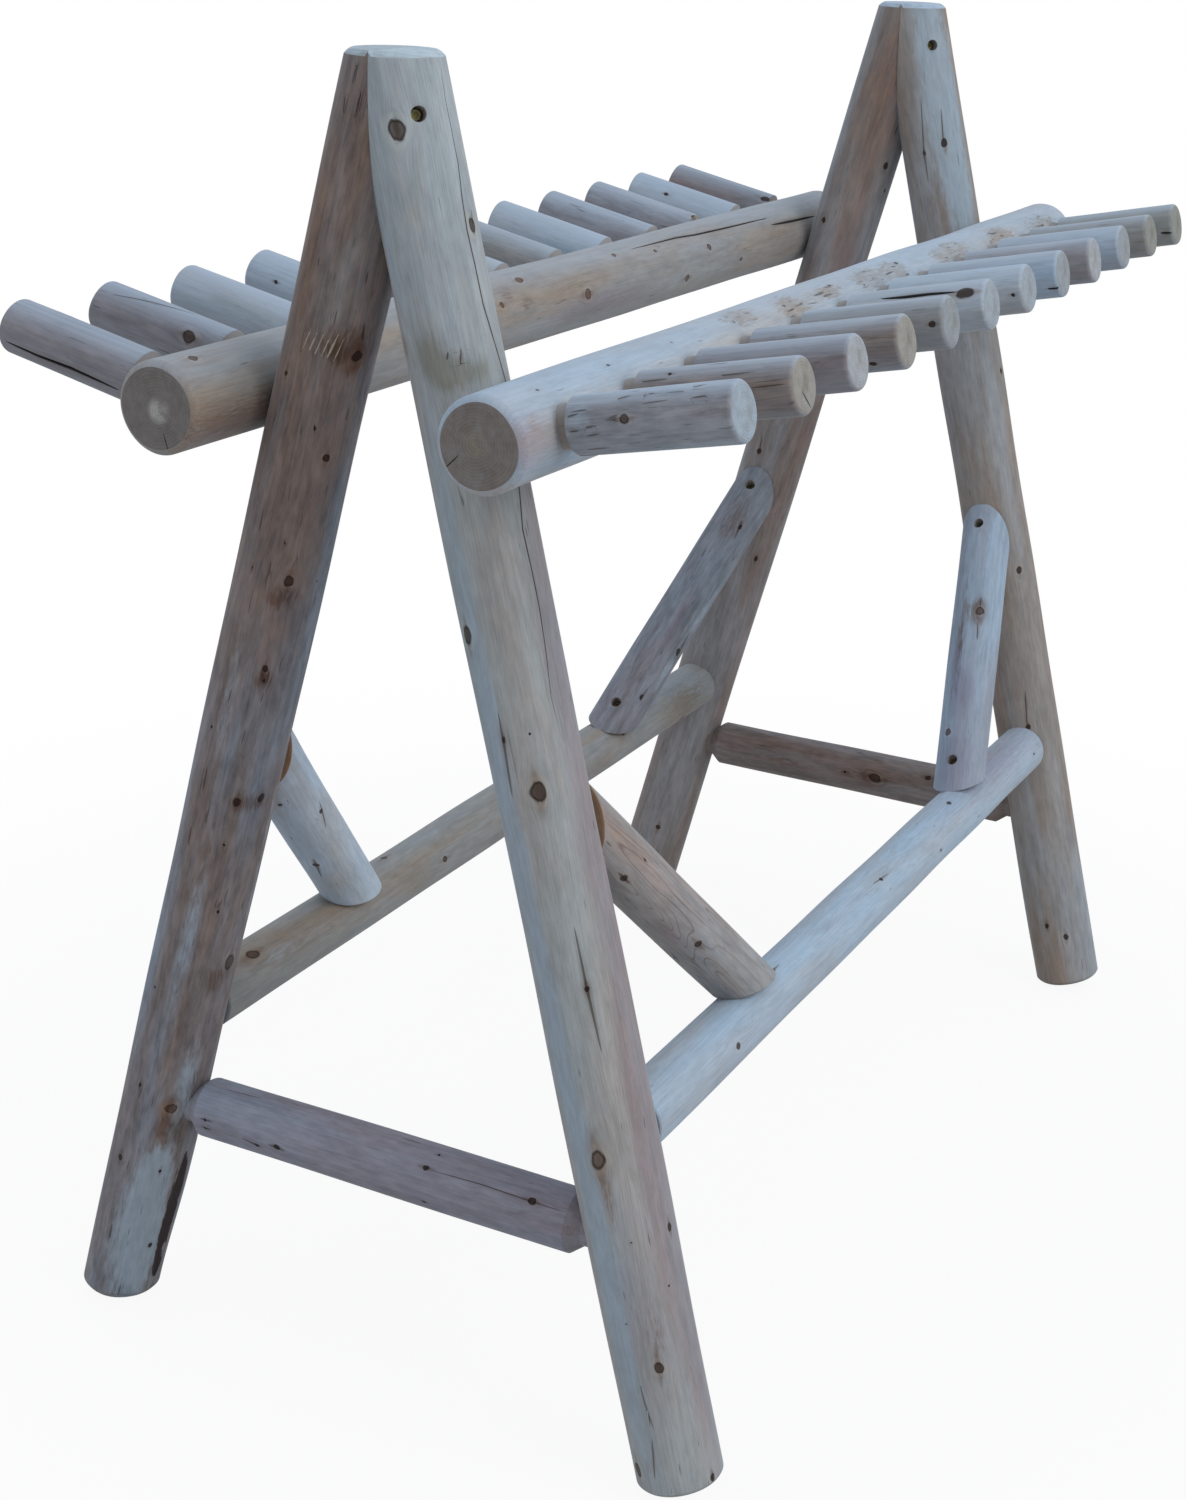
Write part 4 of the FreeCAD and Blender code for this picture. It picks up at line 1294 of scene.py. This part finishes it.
def parts(wire, key):
    """The three numbers of a vector field."""
    vector = attribute(wire, key, "Vector")
    return [wire.node("ShaderNodeSeparateXYZ", {}, {0: vector}, output=n) for n in range(3)]


def patterns_of(wire, grain):
    """All the noises, each with so many features to the metre across the grain and along it."""
    made = []
    for noise in NOISES.values():
        stretch = (noise.across, noise.across, noise.along)
        place = wire.vector("MULTIPLY_ADD", {0: grain, 1: stretch, 2: (noise.shift,) * 3})
        made.append(wire.node("ShaderNodeTexNoise", {}, {
            "Vector": place, "Scale": 1.0, "Detail": noise.detail, "Roughness": NOISE_ROUGHNESS}))
    return Patterns(*made)


print("noises:", list(NOISES))

# %% Bare wood
Tone = namedtuple("Tone", "body warm cool end contrast lines heart", defaults=[None])
DARK_GLASS = (0.52, 0.46, 0.44, 1.0)
FIGURE_LINES = 70.0


def bare_wood(wire, tone, pattern):
    """The tone's colours in drifts, under knife lines, dark threads and blotches; and those lines.

    A line is where the absolute sine of the figure comes near zero. The shade is 1 plus the blotches."""
    colour = pattern.drift.step(0.40, 0.66).mix(tint(*tone.body), tint(*tone.warm))
    colour = pattern.chill.step(0.44, 0.68).mix(colour, tint(*tone.cool))
    contour = abs(wire.math("SINE", pattern.figure * FIGURE_LINES))
    lines = contour.step(0.34, 0.0) * pattern.drift.step(0.34, 0.58)
    threads = pattern.strands.step(0.58, 0.80) * pattern.clouds.step(0.38, 0.60)
    colour = (lines * tone.lines + threads * (0.34 * tone.contrast)).glaze(colour, DARK_GLASS)
    blotches = pattern.clouds.even() * 0.24 + pattern.mottle.even() * 0.22 + pattern.strands.even() * 0.12
    shade = 1.0 + blotches * tone.contrast + pattern.fibres.even() * 0.14
    return wire.vector("SCALE", {0: colour, "Scale": shade}), lines


print("a tone is", Tone._fields)

# %% [markdown]
# ## Stains, and silver with painted light
#
# Bark and damp have stained the logs, rain and sun have turned the upper sides of the rails and pegs
# silver, and the skin of one rail is torn in patches. The same bluish silver also paints sky light on
# those tops and floor-bounce light on their undersides. Painted masks could place these, but every log
# would need an image. Here each is a field of the mesh, and noise frays its edge.

# %% Stains, silver with painted light, and torn fibres
Glass = namedtuple("Glass", "colour ragged")
STAIN_GLASS = {
    "tan": Glass((0.96, 0.82, 0.70, 1.0), 0.6),
    "brown": Glass((0.64, 0.50, 0.43, 1.0), 0.8),
    "mauve": Glass((0.80, 0.71, 0.74, 1.0), 0.4),
    "damp": Glass((0.69, 0.65, 0.57, 1.0), 0.45),
}
TORN_GLASS = (0.80, 0.68, 0.58, 1.0)
PALE_WOOD = tint(142, 154, 163)
# Bluish silver of weathered tops, which also stands in for painted sky and bounce light.
SILVER_AND_SKY_LIGHT = tint(150, 160, 171)


def stained_wood(wire, colour, field, pattern):
    """Stains with ragged edges, then bare pale wood, silver with painted sky and bounce light, and torn
    patches; and how torn it is.
    """
    ragged = pattern.clouds.even() * 0.4 + pattern.mottle.even() * 0.5 + pattern.frays.even() * 0.6
    for kind, glass in STAIN_GLASS.items():
        frayed = ragged * glass.ragged * field[kind].step(0.0, 0.5)
        colour = (field[kind] + frayed).step(0.08, 0.95).glaze(colour, glass.colour)
    uneven = 1.0 + pattern.mottle.even() * 0.14 + pattern.fibres.even() * 0.1
    peeled = wire.vector("SCALE", {0: PALE_WOOD[:3], "Scale": uneven})
    bare = (field["pale"] + ragged * 0.3 * field["pale"].step(0.0, 0.4)).step(0.2, 0.75)
    colour = (bare * 0.85).mix(colour, peeled)
    # Painted light: the tops turn bluish silver as if sky-lit, and the undersides are lightened.
    colour = (field["silver_and_painted_light"] * (0.35 + pattern.strands * 0.8)).mix(colour, SILVER_AND_SKY_LIGHT)
    torn = (field["torn"] + ragged * 0.6).step(0.25, 0.70) * field["torn"].step(0.1, 0.3)
    flaking = torn * (0.6 + pattern.flakes.step(0.38, 0.60) * 0.4)
    return flaking.glaze(colour, TORN_GLASS), torn


print("stain glasses:", list(STAIN_GLASS))

# %% [markdown]
# ## Knots, checks and sawn ends
#
# On the real logs a knot is a disc with a dark rim in a rusty halo, a check is a dark line with stained
# lips, and a sawn end shows growth rings around the pith. The dark of a check is painted shade. Decals
# could carry these, but would float over the round skin. The mesh already carries the distance to each
# knot and check, so soft steps of these distances draw them, sharp from near and from far.

# %% Knots in the wood
LIGHT_KNOT_GLASS = (0.66, 0.56, 0.50, 1.0)
DARK_KNOT_GLASS = (0.12, 0.09, 0.08, 1.0)
RIM_GLASS = (0.24, 0.19, 0.17, 1.0)
SAP_GLASS = (1.34, 1.27, 1.15, 1.0)
HALO_GLASS = (0.66, 0.53, 0.46, 1.0)


def knotted_wood(wire, colour, pattern):
    """A rusty halo, a pale ring where the trunk grew over the branch, a heart and its dark rim."""
    from_knot, light, halo = parts(wire, "knot")
    rust = (halo * (pattern.strands * 0.8 + pattern.frays * 1.2)).step(0.05, 1.1)
    colour = (rust * 0.85).glaze(colour, HALO_GLASS)
    wobble = from_knot + (pattern.specks - 0.5) * 0.45 + (pattern.mottle - 0.5) * 0.5
    grown_over = wobble.step(1.08, 1.25) * wobble.step(2.1, 1.5) * light.step(0.0, 0.5)
    colour = (grown_over * 0.45).glaze(colour, SAP_GLASS)
    heart = (light * (0.6 + pattern.mottle * 0.8)).mix(DARK_KNOT_GLASS, LIGHT_KNOT_GLASS)
    colour = wobble.step(1.08, 0.86).glaze(colour, heart)
    rim = wobble.step(0.66, 0.90) * wobble.step(1.18, 0.98)
    return (rim * (0.3 + pattern.strands) * light.step(0.0, 0.3)).glaze(colour, RIM_GLASS)


print("knot glasses from", DARK_KNOT_GLASS[0], "to", LIGHT_KNOT_GLASS[0])

# %% Specks and checks in the wood
SPECK_DARK = tint(44, 36, 33)
# Nearly black: the painted shade inside a check.
PAINTED_CHECK_SHADE = tint(24, 20, 19)
BARK_RED = tint(38, 25, 24)
SCRATCH_PALE = tint(150, 138, 126)
FRESH_TAN = tint(138, 124, 110)


def checked_wood(wire, colour, field, pattern, tone, torn):
    """Dark dashes, crumbs on torn wood, stained checks with their linings, and freshly turned wood;
    and where the wood is split. A plain check is lined with painted shade, a bark groove with bark
    and a scratch with pale wood."""
    often = 0.76 - 0.08 * tone.contrast
    dashes = pattern.specks.step(often, often + 0.08) * pattern.strands.step(0.42, 0.60) * (1 - field["sawn"])
    crumbs = torn * pattern.specks.step(0.62, 0.70)
    colour = (dashes * 0.6 + crumbs * 0.7).mix(colour, SPECK_DARK)
    signed, opened, lined = parts(wire, "check")
    barky = lined.step(1.2, 1.8)
    beside = abs(signed) + pattern.mottle.even() * barky * 0.9
    split = beside.step(1.3, 0.6) * opened.step(0.05, 0.30)
    stained = beside.step(4.5, 0.8) * opened * lined.step(2.8, 2.2)
    colour = (stained * 0.45).glaze(colour, HALO_GLASS)
    # A plain check is lined with painted shade.
    lining = lined.step(2.2, 2.8).mix(barky.mix(PAINTED_CHECK_SHADE, BARK_RED), SCRATCH_PALE)
    colour = (split * (lined * 0.35 + pattern.strands * 0.4 + 0.42)).mix(colour, lining)
    return (field["fresh"] * 0.65).mix(colour, FRESH_TAN), split


print("check linings:", list(LININGS))

# %% Sawn ends
RING_WAVES = 1850.0


def sawn_ends(wire, tone, grain, pattern, split):
    """End grain with a heart and checks in painted shade; and its growth rings, the sine of the distance
    to the pith.
    """
    flat = wire.vector("MULTIPLY", {0: grain, 1: (1.0, 1.0, 0.0)})
    radius = wire.vector("LENGTH", {0: flat}, "Value")
    swayed = radius + pattern.swirl * 0.005 + pattern.mottle * 0.0012
    years = wire.math("SINE", swayed * RING_WAVES) * 0.5 + 0.5
    grown = years * 0.22 + 0.1 + pattern.swirl.even() * 0.25 + pattern.mottle.even() * 0.25
    ends = (pattern.clouds.step(0.46, 0.66) * 0.12).mix(tint(*tone.end), tint(*tone.body))
    heart = tint(*(tone.heart or tone.end))
    ends = (radius.step(0.017, 0.006) * pattern.swirl.step(0.3, 0.6)).mix(ends, heart)
    ends = grown.glaze(ends, DARK_GLASS)
    return (split * 0.9).mix(ends, PAINTED_CHECK_SHADE), years


print("growth rings every", round(2 * math.pi / RING_WAVES / MILLIMETRE, 1), "mm")

# %% The wood material
BUMP_STRENGTH = 0.35
BUMP_HEIGHT = 0.0010
WOOD_SHEEN = {"Specular IOR Level": 0.12, "Sheen Weight": 0.12, "Sheen Roughness": 0.45,
              "Sheen Tint": (0.85, 0.93, 1.0, 1.0)}


def weathered_wood(name, tone):
    """Grey drifting wood from the grain field, with stains, knots, checks and sawn ends laid over it."""
    material, wire, shader = new_finish(name)
    field = {key: attribute(wire, key) for key in ("sawn", "fresh", "silver_and_painted_light", *STAIN_KINDS)}
    grain = attribute(wire, "grain", "Vector")
    pattern = patterns_of(wire, grain)
    colour, lines = bare_wood(wire, tone, pattern)
    colour, torn = stained_wood(wire, colour, field, pattern)
    colour = knotted_wood(wire, colour, pattern)
    colour, split = checked_wood(wire, colour, field, pattern, tone, torn)
    ends, years = sawn_ends(wire, tone, grain, pattern, split)
    colour = field["sawn"].step(0.4, 0.9).mix(colour, ends)
    rough = 0.62 + pattern.fibres * 0.2 + pattern.clouds * 0.1
    height = pattern.fibres * 0.4 + pattern.strands * 0.4 + pattern.mottle * 0.5 - lines * 0.15 - split * 1.2
    height = height + years * field["sawn"] * 0.2 + torn * (pattern.flakes * 1.5 + pattern.frays * 0.8)
    bump = wire.node("ShaderNodeBump", {},
                     {"Strength": BUMP_STRENGTH, "Distance": BUMP_HEIGHT, "Height": height})
    wire.fill(shader, {"Base Color": colour, "Roughness": rough, "Normal": bump, **WOOD_SHEEN})
    return material


print("sheen:", WOOD_SHEEN)

# %% [markdown]
# ## A tone for each log
#
# No two logs have weathered alike: one leg stayed brown and one rail bleached nearly white. A single
# material could pick its colours by object, but the tones also differ in contrast and in their lines.
# So each tone gets a material of its own from the same function, with colours as they look on screen.

# %% Tones of the logs
tones = {
    # Leg tones silver, umber, fawn and taupe have pale blue-white ends: painted sky light on the legs' tops.
    "silver": Tone((148, 151, 150), (150, 145, 141), (146, 153, 156), (166, 178, 184), 0.6, 0.12),
    "umber": Tone((116, 109, 109), (114, 100, 93), (119, 125, 134), (154, 166, 171), 1.4, 0.22),
    "fawn": Tone((133, 127, 122), (132, 117, 106), (138, 140, 142), (156, 170, 184), 0.75, 0.16),
    "taupe": Tone((126, 119, 115), (125, 109, 102), (132, 132, 134), (156, 170, 184), 0.9, 0.18),
    "slate": Tone((128, 126, 134), (125, 116, 121), (129, 133, 144), (118, 112, 108), 0.8, 0.22),
    "bark": Tone((115, 105, 101), (109, 90, 81), (125, 122, 122), (120, 108, 98), 1.2, 0.20),
    "sand": Tone((132, 131, 128), (135, 124, 113), (130, 135, 140), (138, 146, 158), 0.6, 0.14),
    "bone": Tone((154, 162, 170), (158, 155, 152), (148, 162, 174), (117, 110, 104), 0.5, 0.14,
        (126, 121, 108)),
    "pearl": Tone((152, 161, 169), (150, 146, 143), (148, 164, 178), (144, 151, 156), 0.7, 0.18,
        (134, 138, 140)),
    "chalk": Tone((151, 162, 173), (153, 156, 160), (149, 166, 180), (138, 146, 158), 0.4, 0.16),
    "frost": Tone((140, 149, 159), (134, 135, 143), (142, 157, 172), (138, 142, 144), 0.6, 0.14,
        (130, 132, 132)),
    "rose": Tone((140, 137, 135), (143, 130, 123), (134, 138, 142), (150, 120, 96), 0.8, 0.75),
    "mist": Tone((167, 177, 186), (167, 167, 168), (167, 181, 194), (170, 136, 108), 0.55, 0.14),
    "haze": Tone((117, 120, 126), (120, 114, 118), (116, 124, 132), (150, 122, 100), 1.2, 0.16),
    "straw": Tone((133, 128, 122), (136, 122, 108), (136, 136, 135), (113, 108, 104), 0.65, 0.16,
        (168, 166, 162)),
    "cream": Tone((126, 128, 128), (124, 118, 113), (125, 133, 140), (134, 138, 140), 0.8, 0.18,
        (126, 128, 126)),
    "plum": Tone((122, 118, 121), (119, 107, 105), (127, 131, 139), (152, 154, 156), 0.9, 0.24,
        (140, 140, 138)),
    "russet": Tone((118, 109, 104), (117, 99, 88), (126, 128, 132), (140, 136, 128), 1.2, 0.60,
        (126, 120, 110)),
    "ragged": Tone((126, 127, 131), (112, 106, 106), (142, 153, 162), (146, 156, 164), 1.5, 0.30,
        (140, 148, 154)),
    "olive": Tone((122, 120, 112), (116, 108, 97), (124, 128, 128), (130, 130, 122), 0.8, 0.20,
        (118, 116, 106)),
}
woods = {name: weathered_wood(f"{name}_wood", tone) for name, tone in tones.items()}
log_tones = {
    "near_right_leg": "silver", "near_left_leg": "umber", "far_right_leg": "fawn", "far_left_leg": "taupe",
    "near_rung": "slate", "far_rung": "bark", "left_stretcher": "sand", "right_stretcher": "chalk",
    "near_right_brace": "rose", "near_left_brace": "mist", "far_right_brace": "frost",
    "far_left_brace": "haze", "right_rail": "bone", "left_rail": "straw",
}
peg_tones = {
    "right": "ragged russet plum russet cream pearl pearl frost plum frost olive olive".split(),
    "left": "plum plum chalk chalk plum silver cream chalk plum plum chalk plum".split(),
}
for side_name, names in peg_tones.items():
    log_tones.update({f"{side_name}_peg_{n:02d}": tone for n, tone in enumerate(names, 1)})
for name, piece in pieces.items():
    piece.data.materials.append(woods[log_tones[name]])
print("woods:", list(woods))

# %% [markdown]
# ## Screws
#
# The screws are plated with zinc that has turned yellow-green, dull in the weather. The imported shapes
# are right, so they stay, and only get this metal: a warm plating with cloudy patches and fine
# scratches that change its roughness.

# %% Plated screws
ZINC_YELLOW = tint(128, 115, 76)
ZINC_GREEN = tint(92, 98, 70)
CLOUDS_TO_METRE = 320.0
SCRATCHES_TO_METRE = 1400.0
plated, wire, shader = new_finish("plated_steel")
place = wire.node("ShaderNodeTexCoord", {}, {}, "Object")
clouds = wire.node("ShaderNodeTexNoise", {}, {"Vector": place, "Scale": CLOUDS_TO_METRE, "Detail": 3.0})
scratches = wire.node("ShaderNodeTexNoise", {},
                      {"Vector": place, "Scale": SCRATCHES_TO_METRE, "Detail": 2.0})
scored = wire.node("ShaderNodeBump", {}, {"Strength": 0.2, "Distance": 0.0003, "Height": scratches})
wire.fill(shader, {
    "Base Color": clouds.step(0.35, 0.65).mix(ZINC_YELLOW, ZINC_GREEN),
    "Roughness": 0.28 + scratches * 0.3,
    "Normal": scored,
    "Metallic": 0.9,
})
screw_nodes = [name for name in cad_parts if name.endswith("_screws")]
for name in screw_nodes:
    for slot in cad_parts[name].material_slots:
        slot.material = plated
print("plated:", screw_nodes)

# %% [markdown]
# ## Floor and light
#
# The rack stands on a plain white floor under soft cool light from above and from the right. The
# floor is an ordinary pale surface close to the rack, so it takes the rack's shadow, and turns into
# plain white further out, where the camera would otherwise see its edge.

# %% Floor
FLOOR_SIZE = 12.0
FLOOR_GREY = (0.52, 0.49, 0.47, 1.0)
WHITE = (1.0, 1.0, 1.0, 1.0)
SHADOW_SHARE = 0.08
SHADOW_FROM = 0.6
SHADOW_TO = 2.2


def shown(wire):
    """1 for rays that show the background, straight on, in a mirror or through glass; 0 for light."""
    rays = [wire.node("ShaderNodeLightPath", {}, {}, f"Is {ray} Ray")
            for ray in ("Camera", "Glossy", "Transmission")]
    return wire.math("MINIMUM", rays[0] + rays[1] + rays[2], 1.0)


half = FLOOR_SIZE / 2
floor_mesh = bpy.data.meshes.new("studio_floor")
floor_corners = [(-half, -half, 0), (half, -half, 0), (half, half, 0), (-half, half, 0)]
floor_mesh.from_pydata(floor_corners, [], [(0, 1, 2, 3)])
floor = add_object("studio_floor", floor_mesh)

floor_white, wire, shader = new_finish("floor_white")
spot = wire.node("ShaderNodeTexCoord", {}, {}, "Object")
grit = wire.node("ShaderNodeTexNoise", {}, {"Vector": spot, "Scale": 40.0, "Detail": 3.0})
away = wire.vector("LENGTH", {0: spot}, "Value")
fade = away.step(SHADOW_FROM, SHADOW_TO) * SHADOW_SHARE + (1.0 - SHADOW_SHARE)
wire.fill(shader, {"Base Color": FLOOR_GREY, "Roughness": 0.7 + grit * 0.2})
glow = wire.node("ShaderNodeEmission", {}, {"Color": WHITE, "Strength": 1.0})
lit = Wire(wire.tree, shader.outputs[0])
surface = wire.node("ShaderNodeMixShader", {}, {0: shown(wire) * fade, 1: lit, 2: glow})
wire.fill(wire.tree.nodes["Material Output"], {0: surface})
floor_mesh.materials.append(floor_white)
print("floor", FLOOR_SIZE, "m")

# %% Sky
TO_FRONT = (-0.89, -0.45, 0.0)
FRONT_SKY = (0.52, 0.50, 0.49, 1.0)
SIDE_SKY = (0.76, 0.85, 0.96, 1.0)
HIGH_SKY = (0.90, 1.01, 1.16, 1.0)
world = bpy.data.worlds.new("soft_sky")
scene.world = world
world.use_nodes = True
world.node_tree.nodes.clear()
wire = Wire(world.node_tree)
way = wire.node("ShaderNodeTexCoord", {}, {}, "Generated")
height = wire.node("ShaderNodeSeparateXYZ", {}, {0: way}, output=2)
front = wire.vector("DOT_PRODUCT", {0: way, 1: TO_FRONT}, "Value")
horizon = front.step(-0.2, 0.9).mix(SIDE_SKY, FRONT_SKY)
sky = height.step(-0.1, 0.9).mix(horizon, HIGH_SKY)
light = wire.node("ShaderNodeBackground", {}, {"Color": sky, "Strength": 1.0})
white = wire.node("ShaderNodeBackground", {}, {"Color": WHITE, "Strength": 1.0})
both = wire.node("ShaderNodeMixShader", {}, {0: shown(wire), 1: light, 2: white})
wire.fill(wire.tree.nodes.new("ShaderNodeOutputWorld"), {0: both})
print("sky from", FRONT_SKY[:3], "in front to", HIGH_SKY[:3], "above")

# %% Lamp
LAMP_AT = np.array([-0.6, -3.8, 3.6])
LAMP_AIM = np.array([0.0, 0.0, 0.8])
LAMP_POWER = 95.0
LAMP_SIZE = 3.2
LAMP_COLOUR = (0.95, 0.98, 1.0)
lamp_data = bpy.data.lights.new("soft_lamp", "AREA")
lamp_data.shape = "DISK"
lamp_data.size = LAMP_SIZE
lamp_data.energy = LAMP_POWER
lamp_data.color = LAMP_COLOUR
lamp = add_object("soft_lamp", lamp_data)
back = LAMP_AT - LAMP_AIM
back = back / np.linalg.norm(back)
lamp_side = np.cross(UPWARDS, back)
lamp_side = lamp_side / np.linalg.norm(lamp_side)
stand(lamp, LAMP_AT, np.column_stack([lamp_side, np.cross(back, lamp_side), back]))
scene.view_settings.view_transform = "Standard"
print("lamp at", LAMP_AT.tolist())
